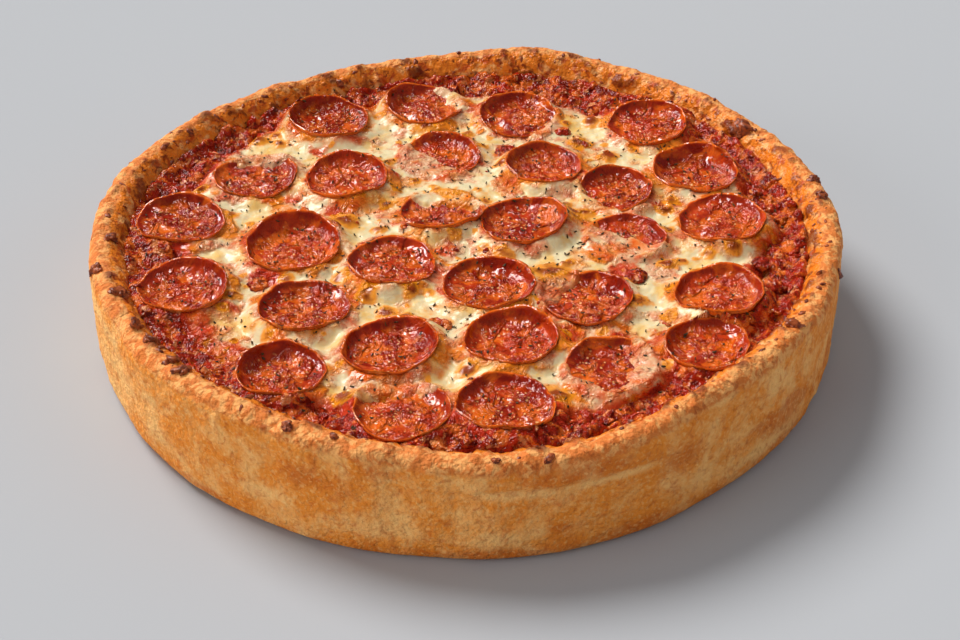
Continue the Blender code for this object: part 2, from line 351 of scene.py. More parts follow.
class Finish:
    """A material under construction: a Principled shader and the graph that feeds it."""

    def __init__(self, name: str, effects: Effects, **constants: object) -> None:
        """Starts a material.

        Args:
            name: The material's name.
            effects: The shared shader groups.
            **constants: Values of the shader's own sockets, an underscore for each blank.
        """
        self.material = bpy.data.materials.new(name)
        self.material.use_nodes = True
        self.graph = Graph(self.material.node_tree)
        self.effects = effects
        self.shader = self.material.node_tree.nodes["Principled BSDF"]
        for socket, value in constants.items():
            self.shader.inputs[socket.replace("_", " ")].default_value = value

    def patches(self, scale: float, low: float, high: float) -> bpy.types.NodeSocket:
        """A mask of soft patches."""
        return self.graph.group(self.effects.patches, Scale=scale, From=low, To=high)

    def flecks(self, scale: float, reach: float) -> bpy.types.NodeSocket:
        """A mask of small spots."""
        return self.graph.group(self.effects.flecks, Scale=scale, Reach=reach)

    def relief(self, coarse: float, fine: float, fine_share: float) -> bpy.types.NodeSocket:
        """A height of two sizes of grain."""
        return self.graph.group(self.effects.relief, Coarse=coarse, Fine=fine, Fine_Share=fine_share)

    def ragged(self, mask: str, wobble: object, sway: float, low: float, high: float) -> bpy.types.NodeSocket:
        """One of the mesh's masks with a ragged edge.

        Args:
            mask: The mask's name.
            wobble: The unevenness that bends its edge.
            sway: How strongly it does so.
            low: Sum of both at which the result is 0.
            high: Sum of both at which the result is 1.

        Returns:
            The new mask.
        """
        g = self.graph
        return g.step(g.math("ADD", g.mask(mask), g.math("MULTIPLY", wobble, sway)), low, high)

    def layered(self, lowest: object, layers: Sequence[tuple[object, float, object]]) -> bpy.types.NodeSocket:
        """Colours laid over one another.

        Args:
            lowest: The colour under them all.
            layers: Mask, greatest share and colour of each, from the lowest upwards.

        Returns:
            The colour that shows.
        """
        for mask, share, colour in layers:
            lowest = self.graph.blend(self.graph.math("MULTIPLY", mask, share), lowest, colour)
        return lowest

    def connect(self, **sockets: bpy.types.NodeSocket) -> bpy.types.Material:
        """Feeds the shader's sockets and gives the finished material."""
        for name, value in sockets.items():
            self.graph.feed(self.shader.inputs[name.replace("_", " ")], value)
        return self.material


@dataclass(frozen=True)
class DoughFinish:
    """Baked dough: golden and pebbly, toasted in patches, browned on the rim."""

    pale: Colour = srgb(250, 204, 132)
    golden: Colour = srgb(232, 138, 46)
    toasted: Colour = srgb(184, 80, 18)
    rim_light: Colour = srgb(234, 166, 98)
    rim: Colour = srgb(208, 114, 50)
    rim_dark: Colour = srgb(148, 56, 16)
    inside: Colour = srgb(226, 124, 32)
    char: Colour = srgb(104, 30, 8)
    red: Colour = srgb(160, 34, 10)
    relief: float = 0.0013

    def build(self, effects: Effects) -> bpy.types.Material:
        """The material, reading the masks rim, inside, char, pale and toast."""
        finish = Finish("baked_dough", effects, Specular_IOR_Level=0.2, Subsurface_Weight=0.05,
                        Subsurface_Radius=(0.004, 0.002, 0.001), Subsurface_Scale=1.0)
        g, patches, ragged = finish.graph, finish.patches, finish.ragged
        wobble = g.uneven(230, 5)
        inside = ragged("inside", wobble, 0.9, 0.3, 0.75)
        crust = finish.layered(self.rim, (
            (patches(230, 0.44, 0.60), 1.0, self.rim_light),
            (patches(330, 0.52, 0.68), 0.6, self.rim_dark)))
        inner = finish.layered(self.inside, (
            (patches(170, 0.50, 0.64), 1.0, self.rim_light),
            (patches(190, 0.50, 0.64), 0.7, self.red),
            (patches(260, 0.52, 0.66), 0.8, self.char)))
        colour = finish.layered(self.golden, (
            (patches(60, 0.42, 0.70), 0.6, self.pale),
            (ragged("toast", wobble, 1.6, 0.0, 1.4), 0.55, self.toasted),
            (ragged("pale", wobble, 0.8, 0.1, 1.1), 0.6, self.pale),
            (g.step(g.noise(700, 3), 0.50, 0.70), 0.35, self.pale),
            (patches(300, 0.48, 0.72), 0.5, self.toasted),
            (ragged("rim", wobble, 1.1, 0.3, 0.9), 0.9, crust),
            (inside, 1.0, inner),
            # The char mask is real char and, round one side of the inner wall, painted shade.
            (ragged("char", wobble, 0.9, 0.2, 1.1), 0.85, self.char)))
        relief = g.bump(finish.relief(330, 900, 0.5), self.relief)
        return finish.connect(Base_Color=colour, Roughness=g.between(inside, 0.72, 0.34), Normal=relief)


@dataclass(frozen=True)
class SauceFinish:
    """Chunky cooked tomato: deep red, wet, roasted dark on its tops."""

    red: Colour = srgb(170, 38, 12)
    deep: Colour = srgb(108, 16, 5)
    orange: Colour = srgb(222, 106, 30)
    shred: Colour = srgb(222, 140, 84)
    roasted: Colour = srgb(92, 28, 10)
    relief: float = 0.0024

    def build(self, effects: Effects) -> bpy.types.Material:
        """The material, reading the mask roast."""
        finish = Finish("tomato_sauce", effects, Specular_IOR_Level=0.35, Subsurface_Weight=0.1,
                        Subsurface_Radius=(0.003, 0.0006, 0.0003), Subsurface_Scale=1.0)
        g, patches = finish.graph, finish.patches
        wobble = g.uneven(300, 5)
        colour = finish.layered(self.red, (
            (patches(240, 0.44, 0.60), 1.0, self.deep),
            (patches(170, 0.48, 0.62), 0.85, self.orange),
            (patches(210, 0.56, 0.66), 0.8, self.shred),
            (finish.ragged("roast", wobble, 1.5, 0.4, 0.95), 1.0, self.roasted)))
        rough = g.between(finish.ragged("roast", wobble, 1.5, 0.4, 0.9), 0.16, 0.38)
        relief = g.bump(finish.relief(360, 1100, 0.4), self.relief)
        return finish.connect(Base_Color=colour, Roughness=rough, Normal=relief)


@dataclass(frozen=True)
class CheeseFinish:
    """Melted mozzarella: cream, blistered gold and brown, stained by oil and sauce."""

    cream: Colour = srgb(222, 206, 164)
    warm: Colour = srgb(226, 182, 104)
    gold: Colour = srgb(232, 142, 16)
    brown: Colour = srgb(140, 54, 10)
    oil: Colour = srgb(226, 122, 12)
    stain: Colour = srgb(216, 84, 22)
    red: Colour = srgb(184, 38, 10)
    deep: Colour = srgb(124, 18, 6)
    relief: float = 0.0022

    def build(self, effects: Effects) -> bpy.types.Material:
        """The material, reading the masks brown, oil and stain."""
        finish = Finish("melted_mozzarella", effects, Specular_IOR_Level=0.35, Subsurface_Weight=0.15,
                        Subsurface_Radius=(0.004, 0.0025, 0.0012), Subsurface_Scale=1.0)
        g, ragged = finish.graph, finish.ragged
        small = g.uneven(230, 3)
        wobble = g.math("ADD", small, g.uneven(850, 2, 0.25))
        colour = finish.layered(self.cream, (
            (finish.patches(70, 0.44, 0.66), 1.0, self.warm),
            (ragged("oil", wobble, 1.0, 0.1, 0.95), 0.96, self.oil),
            (ragged("stain", wobble, 1.0, 0.05, 1.0), 0.93, self.stain),
            (ragged("stain", wobble, 1.0, 0.55, 1.15), 0.9, self.red),
            (ragged("stain", wobble, 1.0, 1.0, 1.5), 0.8, self.deep),
            (ragged("brown", small, 0.9, 0.15, 0.6), 0.9, self.gold),
            (ragged("brown", small, 0.9, 0.62, 1.2), 1.0, self.brown)))
        oily, stained = ragged("oil", wobble, 1.0, 0.3, 1.0), ragged("stain", wobble, 1.0, 0.2, 0.9)
        soiled = g.math("ADD", stained, oily, clamp=True)
        rugged = g.math("MULTIPLY", g.math("MULTIPLY", soiled, finish.patches(140, 0.40, 0.60)), 0.8)
        grain = g.math("MULTIPLY", finish.relief(280, 850, 0.3), g.math("ADD", rugged, 0.2))
        return finish.connect(Base_Color=colour, Roughness=g.between(soiled, 0.30, 0.14),
                              Normal=g.bump(grain, self.relief))


@dataclass(frozen=True)
class SausageFinish:
    """Cured sausage: red-brown with fat flecks, oily, painted dark as shade up its curled side, painted light
    along its rim.
    """

    meat: Colour = srgb(186, 56, 12)
    dark: Colour = srgb(140, 24, 2)
    # wall: dark red painted as shade on the inner side of the cup
    wall: Colour = srgb(134, 27, 4)
    sheen: Colour = srgb(218, 104, 48)
    fat: Colour = srgb(240, 178, 112)
    orange: Colour = srgb(228, 104, 18)
    # edge: a light line painted along the rim as a highlight
    edge: Colour = srgb(236, 140, 64)
    pepper: Colour = srgb(56, 20, 8)
    relief: float = 0.0028

    def build(self, effects: Effects) -> bpy.types.Material:
        """The material, reading the masks wall, rim, pool and own."""
        finish = Finish("cured_sausage", effects, Specular_IOR_Level=0.5, Subsurface_Weight=0.1,
                        Subsurface_Radius=(0.002, 0.0005, 0.0002), Subsurface_Scale=1.0)
        g, patches, ragged = finish.graph, finish.patches, finish.ragged
        own = g.math("MULTIPLY", g.math("SUBTRACT", g.mask("own"), 0.5), 0.9)
        wall, floor = g.mask("wall"), g.math("SUBTRACT", 1.0, g.mask("wall"), clamp=True)
        up_side, at_rim = g.uneven(110, 4), g.uneven(140, 3)
        colour = finish.layered(self.meat, (
            (g.math("ADD", patches(130, 0.40, 0.62), own, clamp=True), 1.0, self.dark),
            (patches(100, 0.50, 0.64), 0.8, self.orange),
            # Painted shade: the inner side of the cup is painted a darker red
            (ragged("wall", up_side, 2.6, 0.45, 1.3), 0.78, self.wall),
            (g.math("MULTIPLY", patches(160, 0.53, 0.66), floor), 0.75, self.sheen),
            (g.math("MULTIPLY", finish.flecks(480, 0.26), floor), 1.0, self.fat),
            (finish.flecks(1000, 0.1), 0.8, self.pepper),
            (g.step(g.mask("pool"), 0.3, 0.9), 0.6, self.orange),
            # The rim's orange is partly its own colour and partly a painted glow of light through the thin
            # edge; the lighter edge line over it is a painted highlight.
            (ragged("rim", at_rim, 2.4, 0.2, 1.0), 0.75, self.orange),
            (ragged("rim", at_rim, 2.4, 1.0, 1.6), 0.6, self.edge)))
        smooth_wall = g.math("SUBTRACT", 1.0, g.math("MULTIPLY", wall, 0.7))
        lumpy = g.math("ADD", 0.25, g.math("MULTIPLY", patches(110, 0.42, 0.58), 0.75))
        grain = g.math("MULTIPLY", finish.relief(300, 900, 0.3), g.math("MULTIPLY", smooth_wall, lumpy))
        return finish.connect(Base_Color=colour, Roughness=g.between(wall, 0.17, 0.10),
                              Normal=g.bump(grain, self.relief))


@dataclass(frozen=True)
class SpeckFinish:
    """A plain small thing: two close colours mottled together."""

    name: str
    light: Colour
    dark: Colour
    roughness: float
    scale: float

    def build(self, effects: Effects) -> bpy.types.Material:
        """The material."""
        finish = Finish(self.name, effects, Roughness=self.roughness)
        colour = finish.graph.blend(finish.patches(self.scale, 0.4, 0.62), self.light, self.dark)
        grain = finish.relief(self.scale, self.scale * 2.5, 0.5)
        return finish.connect(Base_Color=colour, Normal=finish.graph.bump(grain, 0.0007, 0.7))


# ---------------------------------------------------------------- mesh tools


def coordinates(mesh: bpy.types.Mesh, kind: str = "co") -> np.ndarray:
    """The (n, 3) array of a mesh's points, or of another kind of vector on them."""
    flat = np.empty(len(mesh.vertices) * 3, np.float32)
    mesh.vertices.foreach_get(kind, flat)
    return flat.reshape(-1, 3).astype(float)


def set_coordinates(mesh: bpy.types.Mesh, points: np.ndarray) -> None:
    """Moves a mesh's points to the rows of an (n, 3) array."""
    mesh.vertices.foreach_set("co", points.astype(np.float32).ravel())
    mesh.update()


def push_out(mesh: bpy.types.Mesh, points: np.ndarray, distance: np.ndarray) -> np.ndarray:
    """The points moved along the mesh's normals by a distance each."""
    return points + coordinates(mesh, "normal") * distance[:, None]


def set_masks(mesh: bpy.types.Mesh, **masks: np.ndarray) -> None:
    """Stores masks on a mesh's points, by name, for its finish to read."""
    for name, values in masks.items():
        mesh.attributes.new(name, "FLOAT", "POINT").data.foreach_set("value", values.astype(np.float32))


def mesh_from(shape: bmesh.types.BMesh, name: str) -> bpy.types.Mesh:
    """A smooth-shaded mesh from a finished bmesh, which is freed."""
    mesh = bpy.data.meshes.new(name)
    shape.to_mesh(mesh)
    shape.free()
    mesh.shade_smooth()
    return mesh


def new_object(name: str, data: bpy.types.ID) -> bpy.types.Object:
    """A new object in the scene."""
    made = bpy.data.objects.new(name, data)
    bpy.context.scene.collection.objects.link(made)
    return made


def add_piece(mesh: bpy.types.Mesh, material: bpy.types.Material, slot: str,
              nodes: Sequence[str] = ()) -> bpy.types.Object:
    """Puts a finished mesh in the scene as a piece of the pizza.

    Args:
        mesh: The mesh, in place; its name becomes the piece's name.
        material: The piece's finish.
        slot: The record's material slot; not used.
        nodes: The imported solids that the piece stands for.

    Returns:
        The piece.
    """
    mesh.materials.clear()
    mesh.materials.append(material)
    piece = new_object(mesh.name, mesh)
    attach(piece, BODY)
    for node in nodes:
        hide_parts(node)
    LOG.info("%s: %d points, for %s", piece.name, len(mesh.vertices), ", ".join(nodes) or "no solid")
    return piece


def face_outwards(mesh: bpy.types.Mesh) -> None:
    """Turns a closed mesh's faces to point out of it."""
    shape = bmesh.new()
    shape.from_mesh(mesh)
    bmesh.ops.recalc_face_normals(shape, faces=shape.faces)
    shape.to_mesh(mesh)
    shape.free()
    mesh.shade_smooth()


def unit_tube(rings: int, rays: int, name: str) -> bpy.types.Mesh:
    """A tube of radius 1 and height 1 with closed ends, to be bent into a turned shape.

    Args:
        rings: Faces from end to end, a multiple of 4.
        rays: Faces round it, a multiple of 4.
        name: The mesh's name.

    Returns:
        The mesh.
    """
    shape = bmesh.new()
    coarse = rings // 4
    spine = [shape.verts.new((1.0, 0.0, i / coarse)) for i in range(coarse + 1)]
    edges = [shape.edges.new(pair) for pair in zip(spine, spine[1:])]
    bmesh.ops.spin(shape, geom=spine + edges, axis=(0, 0, 1), cent=(0, 0, 0), steps=rays // 4,
                   angle=2 * math.pi, use_merge=True, use_normal_flip=False, use_duplicate=False)
    bmesh.ops.remove_doubles(shape, verts=shape.verts, dist=1e-6)
    bmesh.ops.subdivide_edges(shape, edges=shape.edges[:], cuts=3, use_grid_fill=True)
    bmesh.ops.holes_fill(shape, edges=[e for e in shape.edges if e.is_boundary], sides=0)
    return mesh_from(shape, name)


def clipped_slab(reach: Callable[[np.ndarray], np.ndarray], half: float,
                 spacing: float) -> bmesh.types.BMesh:
    """A slab from height 0 to 1 whose top is an even grid cut to an outline, closed below.

    Args:
        reach: Outline radius for angles in radians.
        half: Half the side of the square the outline fits in.
        spacing: Side of one grid cell.

    Returns:
        The slab.
    """
    slab = bmesh.new()
    cells = round(2 * half / spacing)
    bmesh.ops.create_grid(slab, x_segments=cells, y_segments=cells, size=half)
    angle, radius = polar(np.array([v.co for v in slab.verts]))
    beyond = radius > reach(angle)
    bmesh.ops.delete(slab, geom=[v for v, out in zip(slab.verts, beyond) if out], context="VERTS")
    bmesh.ops.delete(slab, geom=[e for e in slab.edges if e.is_wire], context="EDGES")
    bmesh.ops.delete(slab, geom=[v for v in slab.verts if not v.link_faces], context="VERTS")
    bmesh.ops.translate(slab, verts=slab.verts, vec=(0, 0, 1))
    border = [e for e in slab.edges if e.is_boundary]
    made = bmesh.ops.extrude_edge_only(slab, edges=border)["geom"]
    lowered = [v for v in made if isinstance(v, bmesh.types.BMVert)]
    bmesh.ops.translate(slab, verts=lowered, vec=(0, 0, -1))
    bmesh.ops.holes_fill(slab, edges=[e for e in slab.edges if e.is_boundary], sides=0)
    bmesh.ops.recalc_face_normals(slab, faces=slab.faces)
    return slab


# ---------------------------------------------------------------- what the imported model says


@dataclass(frozen=True)
class DoughLine:
    """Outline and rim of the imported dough, read all the way round.

    Attributes:
        outer: Largest radius in each direction.
        inner: Radius of the inner wall at the filling's level.
        crown: Height of the rim.
    """

    outer: np.ndarray
    inner: np.ndarray
    crown: np.ndarray

    @classmethod
    def read(cls, node: bpy.types.Object, level: float, wall: float, rays: int = 64,
             steps: int = 720) -> DoughLine:
        """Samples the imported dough.

        Args:
            node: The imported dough.
            level: Height of the filling beside the rim.
            wall: Least thickness of the wall.
            rays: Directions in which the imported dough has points.
            steps: Directions to give back.

        Returns:
            The three lines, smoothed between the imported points.
        """
        points = coordinates(node.data)
        angle, radius = polar(points)
        ray = np.round(angle / (2 * np.pi / rays)).astype(int) % rays
        outer, inner, crown = np.zeros(rays), np.zeros(rays), np.zeros(rays)
        for index in range(rays):
            here = (ray == index) & (radius > 0.5 * radius.max())
            outer[index] = radius[here].max()
            crown[index] = points[here, 2].max()
            inside = here & (radius < outer[index] - wall) & (points[:, 2] > 0.8 * level)
            inner[index] = radius[inside].min()
        turns = np.arange(steps) * rays / steps
        window = np.hanning(2 * steps // rays + 1)
        lines = []
        for line in (outer, inner, crown):
            dense = np.interp(turns, np.arange(rays + 1), np.append(line, line[0]))
            padded = np.concatenate([dense[-len(window):], dense, dense[:len(window)]])
            soft = np.convolve(padded, window / window.sum(), mode="same")
            lines.append(soft[len(window):-len(window)])
        return cls(*lines)

    def at(self, line: np.ndarray, angle: np.ndarray) -> np.ndarray:
        """A line's value at angles in radians."""
        turns = (angle / (2 * np.pi)) % 1.0 * len(line)
        return np.interp(turns, np.arange(len(line) + 1), np.append(line, line[0]))


@dataclass(frozen=True)
class Seat:
    """The place of one slice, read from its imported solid, and the cup it curled into.

    Attributes:
        node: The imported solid's name.
        number: The slice's number, which seeds its own shape.
        centre: Middle of the slice's underside.
        across: Two level directions and the upward one, as columns.
        radius: The slice's radius.
        floor: Share of the way to the rim that stays flat.
        curl: Share of the radius at which the side starts to rise.
        lean: How near to upright the side ends, in degrees.
        sink: How deep the slice sits in the cheese.
    """

    node: str
    number: int
    centre: np.ndarray
    across: np.ndarray
    radius: float
    floor: float = 0.44
    curl: float = 0.56
    lean: float = 74.0
    sink: float = 0.0010

    @classmethod
    def read(cls, node: str, number: int) -> Seat:
        """Finds centre, lean and radius of a packed slice."""
        low, high = (np.array(corner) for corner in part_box(node))
        points = np.unique(np.round(coordinates(bpy.data.objects[node].data), 6), axis=0)
        upward = np.linalg.svd(points - points.mean(0), full_matrices=False)[2][2]
        upward = upward * np.sign(upward[2])
        east = np.cross((0.0, 1.0, 0.0), upward)
        east /= np.linalg.norm(east)
        across = np.column_stack([east, np.cross(upward, east), upward])
        middle = (low + high) / 2
        thick = np.ptp((points - middle) @ upward)
        centre = middle - upward * (thick / 2 + cls.sink)
        return cls(node, number, centre, across, float(high[0] - low[0]) / 2)

    def waves(self, angle: np.ndarray, salt: int, sizes: dict[int, float]) -> np.ndarray:
        """A factor that sways about 1 round the slice.

        Args:
            angle: Directions in radians.
            salt: Which of the slice's own patterns is used.
            sizes: How far it sways for each number of waves round the slice.

        Returns:
            The factor at each angle.
        """
        own = random.Random(100 * self.number + salt)
        return 1 + sum(size * np.cos(count * angle + own.uniform(0, 2 * math.pi))
                       for count, size in sizes.items())

    def outline(self, angle: np.ndarray) -> np.ndarray:
        """The slice's uneven radius at angles in radians."""
        return 1.01 * self.radius * self.waves(angle, 1, {2: 0.026, 3: 0.018, 5: 0.011, 9: 0.008})

    def depth(self, angle: np.ndarray) -> np.ndarray:
        """How high the side stands at angles in radians, lower where cheese lies over it."""
        tall = random.Random(self.number).uniform(0.0046, 0.0062)
        depth = tall * self.waves(angle, 2, {1: 0.22, 2: 0.12, 4: 0.06, 7: 0.04})
        for cover in COVERS:
            if cover.slice == self.number:
                lain_on = bell(turn_between(angle, cover.direction), 0, 40 + 90 * cover.share)
                depth = depth * (1 - 0.75 * lain_on)
        return depth

    def section(self, along: np.ndarray) -> tuple[np.ndarray, np.ndarray, np.ndarray]:
        """The cup's section from its middle to its rim.

        Args:
            along: 0 at the middle and 1 at the rim.

        Returns:
            The share of the radius, the share of the depth, and the side's lean in radians.
        """
        most = math.radians(self.lean)
        turn = np.clip((along - self.floor) / (1 - self.floor), 0, 1) * most
        share = np.where(along < self.floor, along / self.floor * self.curl,
                         self.curl + (1 - self.curl) * np.sin(turn) / math.sin(most))
        return share, (1 - np.cos(turn)) / (1 - math.cos(most)), turn

    def share(self, x: np.ndarray, y: np.ndarray) -> np.ndarray:
        """Distance from the slice's middle as a share of its radius: 1 at its edge."""
        east, north = x - self.centre[0], y - self.centre[1]
        return np.hypot(east, north) / self.outline(np.arctan2(north, east))

    def under(self, x: np.ndarray, y: np.ndarray) -> np.ndarray:
        """Height of the slice's underside at x, y."""
        east, north = x - self.centre[0], y - self.centre[1]
        most = math.radians(self.lean)
        out = np.clip((self.share(x, y) - self.curl) / (1 - self.curl), 0, 1) * math.sin(most)
        rise = (1 - np.sqrt(1 - out ** 2)) / (1 - math.cos(most))
        lean = self.across[:, 2]
        level = self.centre[2] - (east * lean[0] + north * lean[1]) / lean[2]
        return level + self.depth(np.arctan2(north, east)) * rise

    def crest(self, x: np.ndarray, y: np.ndarray) -> np.ndarray:
        """Height of the slice's rim in the direction of x, y."""
        angle = np.arctan2(y - self.centre[1], x - self.centre[0])
        lean = self.across[:, 2]
        reach = self.outline(angle)
        slope = (lean[0] * np.cos(angle) + lean[1] * np.sin(angle)) / lean[2]
        return self.centre[2] - reach * slope + self.depth(angle)


# ---------------------------------------------------------------- dough


@dataclass
class Dough:
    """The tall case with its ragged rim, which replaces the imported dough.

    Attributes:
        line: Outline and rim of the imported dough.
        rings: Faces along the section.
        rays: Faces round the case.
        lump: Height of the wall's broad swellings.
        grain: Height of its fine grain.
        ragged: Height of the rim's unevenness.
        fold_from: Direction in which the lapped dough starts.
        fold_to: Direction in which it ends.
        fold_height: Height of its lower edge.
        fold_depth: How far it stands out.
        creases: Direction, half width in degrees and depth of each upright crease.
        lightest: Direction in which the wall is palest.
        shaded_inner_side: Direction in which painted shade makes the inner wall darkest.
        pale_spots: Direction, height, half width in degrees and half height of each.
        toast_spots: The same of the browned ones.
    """

    line: DoughLine
    rings: int = 84
    rays: int = 900
    lump: float = 0.0006
    grain: float = 0.00022
    ragged: float = 0.0010
    fold_from: float = -108.0
    fold_to: float = -56.0
    fold_height: float = 0.0335
    fold_depth: float = 0.0011
    creases: Sequence[tuple[float, float, float]] = (
        (-152, 4, 0.0008), (-118, 2.5, 0.0007), (-99, 2.0, 0.0012), (-91, 1.6, 0.0008), (-52, 4, 0.0008),
        (-14, 5, 0.0007), (40, 4, 0.0008), (95, 5, 0.0008), (150, 5, 0.0007))
    lightest: float = -127
    # Painted shade: the direction round which the inner wall is painted darker
    shaded_inner_side: float = 170
    pale_spots: Sequence[tuple[float, float, float, float]] = (
        (-172, 0.024, 14.0, 0.022), (-150, 0.024, 7.0, 0.012), (-139, 0.017, 3.5, 0.008),
        (-119, 0.017, 4.0, 0.005), (-101, 0.014, 6.0, 0.006), (-84, 0.0315, 9.0, 0.003),
        (-68, 0.0325, 6.0, 0.002), (-55, 0.016, 4.0, 0.009), (-86, 0.012, 5.0, 0.006))
    toast_spots: Sequence[tuple[float, float, float, float]] = (
        (-74, 0.0385, 7.0, 0.005), (-129, 0.005, 9.0, 0.004), (-76, 0.014, 3.0, 0.004),
        (-59, 0.029, 4.0, 0.007), (-66, 0.006, 8.0, 0.004), (-101, 0.040, 4.0, 0.004),
        (-112, 0.031, 5.0, 0.005), (-88, 0.004, 9.0, 0.003))

    def section(self) -> np.ndarray:
        """Points from the recess's foot over the rim to the base, as shares of width and height.

        Returns:
            An (n, 2) array: 0 to 1 from the inner wall to the outer, and 0 to 1 from base to rim.
        """
        shoulder = [(0.0, 0.60), (0.0, 0.80), (0.10, 0.86), (0.24, 0.925), (0.38, 0.972)]
        top = [(0.52, 0.995), (0.66, 1.0), (0.80, 0.985), (0.90, 0.955), (0.955, 0.90)]
        wall = [(0.975, 0.80), (0.99, 0.62), (1.0, 0.45), (0.995, 0.30), (0.98, 0.17)]
        foot = [(0.955, 0.09), (0.90, 0.035), (0.80, 0.006), (0.66, 0.0), (0.4, 0.0)]
        outline = np.array(shoulder + top + wall + foot)
        lengths = np.hypot(np.diff(outline[:, 0]) * 0.016, np.diff(outline[:, 1]) * 0.048)
        along = np.concatenate([[0], np.cumsum(lengths)])
        wanted = np.linspace(0, along[-1], self.rings * 4)
        dense = np.column_stack([np.interp(wanted, along, outline[:, i]) for i in (0, 1)])
        window = np.hanning(25)
        window /= window.sum()
        for i in (0, 1):
            padded = np.concatenate([np.full(12, dense[0, i]), dense[:, i], np.full(12, dense[-1, i])])
            dense[:, i] = np.convolve(padded, window, mode="valid")
        return dense

    def build(self, material: bpy.types.Material) -> bpy.types.Object:
        """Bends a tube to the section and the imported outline, and roughens it."""
        mesh = unit_tube(self.rings, self.rays, "dough_case")
        unit = coordinates(mesh)
        angle = polar(unit)[0]
        section = self.section()
        spot = unit[:, 2] * (len(section) - 1)
        across = np.interp(spot, np.arange(len(section)), section[:, 0])
        upward = np.interp(spot, np.arange(len(section)), section[:, 1])
        line = self.line
        inner, outer, crown = (line.at(each, angle) for each in (line.inner, line.outer, line.crown))
        height = crown * upward
        points = turned(angle, inner + across * (outer - inner), height)
        set_coordinates(mesh, points)
        face_outwards(mesh)
        outside = smooth(0.5, 0.85, across)
        loose = smooth(0.0, 0.004, height)
        rim = smooth(0.84, 0.97, upward) * smooth(0.30, 0.5, across)
        inside = (1 - smooth(0.30, 0.62, across)) * smooth(0.6, 0.8, upward)
        push = self.lump * Uneven(0.022, 1).at(points) + 0.5 * self.lump * Uneven(0.009, 2).at(points)
        push += self.grain * Uneven(0.0035, 3).at(points)
        push += 0.7 * self.ragged * np.maximum(rim, 0.8 * inside) * Uneven(0.0075, 4).at(points)
        push += 0.0003 * np.maximum(rim, inside) * Uneven(0.0034, 5, 2).at(points)
        char = np.maximum(inside, rim * smooth(0.85, 0.5, across))
        char = smooth(0.1, 0.6, Uneven(0.0075, 7, 4).at(points)) * char
        # Painted shade: one side of the inner wall is darkened further, round the given direction.
        char = np.maximum(char, 0.5 * inside * bell(turn_between(angle, self.shaded_inner_side), 0.0, 24))
        push += 1.2 * self.ragged * char
        lip = self._fold(angle, height, points) * outside
        crease = sum(depth * bell(turn_between(angle, direction), 0, width)
                     for direction, width, depth in self.creases)
        push += lip - crease * outside * smooth(0.1, 0.35, upward)
        points = push_out(mesh, points, push * loose)
        points[:, 2] = np.maximum(points[:, 2], 0.0)
        set_coordinates(mesh, points)
        toast = 0.15 + 0.45 * Uneven(0.03, 8, 4).at(points) + 0.6 * smooth(0.010, 0.0, height)
        toast += 1.1 * self._blots(self.toast_spots, 9, angle, height) - 0.4 * smooth(0.0, -0.0008, push)
        toast -= 0.5 * bell(turn_between(angle, self.lightest), 0.0, 20)
        pale = self._blots(self.pale_spots, 10, angle, height) * outside
        set_masks(mesh, rim=rim, inside=inside, pale=pale, toast=toast, char=char)
        return add_piece(mesh, material, "crust", ["crust"])

    @staticmethod
    def _blots(placed: Sequence[tuple[float, float, float, float]], seed: int, angle: np.ndarray,
               height: np.ndarray) -> np.ndarray:
        """Soft blots on the wall, the given ones in front and others behind.

        Args:
            placed: Direction, height, half width in degrees and half height of each.
            seed: Seed of the blots behind.
            angle: Angle of each point in radians.
            height: Height of each point.

        Returns:
            The blots' mask at each point.
        """
        own = random.Random(seed)
        ranges = ((-42, 205), (0.006, 0.038), (3, 8), (0.003, 0.008))
        behind = [[own.uniform(low, high) for low, high in ranges] for _ in range(16)]
        return np.clip(sum(bell(turn_between(angle, direction), 0, width) * bell(height, middle, tall)
                           for direction, middle, width, tall in (*placed, *behind)), 0, 1)

    def _fold(self, angle: np.ndarray, height: np.ndarray, points: np.ndarray) -> np.ndarray:
        """How far the lapped dough stands out over the wall below it."""
        along = np.clip((turn_between(angle, self.fold_from)) / (self.fold_to - self.fold_from), 0, 1)
        edge = self.fold_height + 0.002 * (2 * along - 1) ** 2 + 0.0012 * Uneven(0.02, 6).at(points)
        return self.fold_depth * np.sin(np.pi * along) ** 0.7 * smooth(-0.0012, 0.0012, height - edge)


# ---------------------------------------------------------------- filling


@dataclass(frozen=True)
class Cover:
    """Cheese or sauce lying over a part of one slice.

    Attributes:
        slice: Number of the slice.
        direction: Where on the slice it lies, seen from the slice's middle.
        share: How much of the slice's width it hides, 0 to 1.
        depth: How thick it lies.
        pink: How much sauce it holds, 0 to 1.
    """

    slice: int
    direction: float
    share: float
    depth: float = 0.0016
    pink: float = 0.0


COVERS = (
    Cover(18, 228, 0.42, 0.0014, 0.75),
    Cover(27, 80, 0.26, 0.0014, 0.45),
    Cover(25, 240, 0.60, 0.0016, 0.70),
    Cover(11, 100, 0.22, 0.0014, 0.75),
    Cover(13, 350, 0.30, 0.0014, 0.75),
    Cover(13, 230, 0.16, 0.0012, 0.85),
    Cover(16, 215, 0.20, 0.0014, 0.55),
    Cover(5, 40, 0.14, 0.0012, 0.55),
    Cover(24, 150, 0.20, 0.0012, 0.9),
    Cover(7, 95, 0.15, 0.0014, 0.7),
    Cover(8, 190, 0.12, 0.0012, 0.9),
    Cover(4, 330, 0.14, 0.0012, 0.7),
)


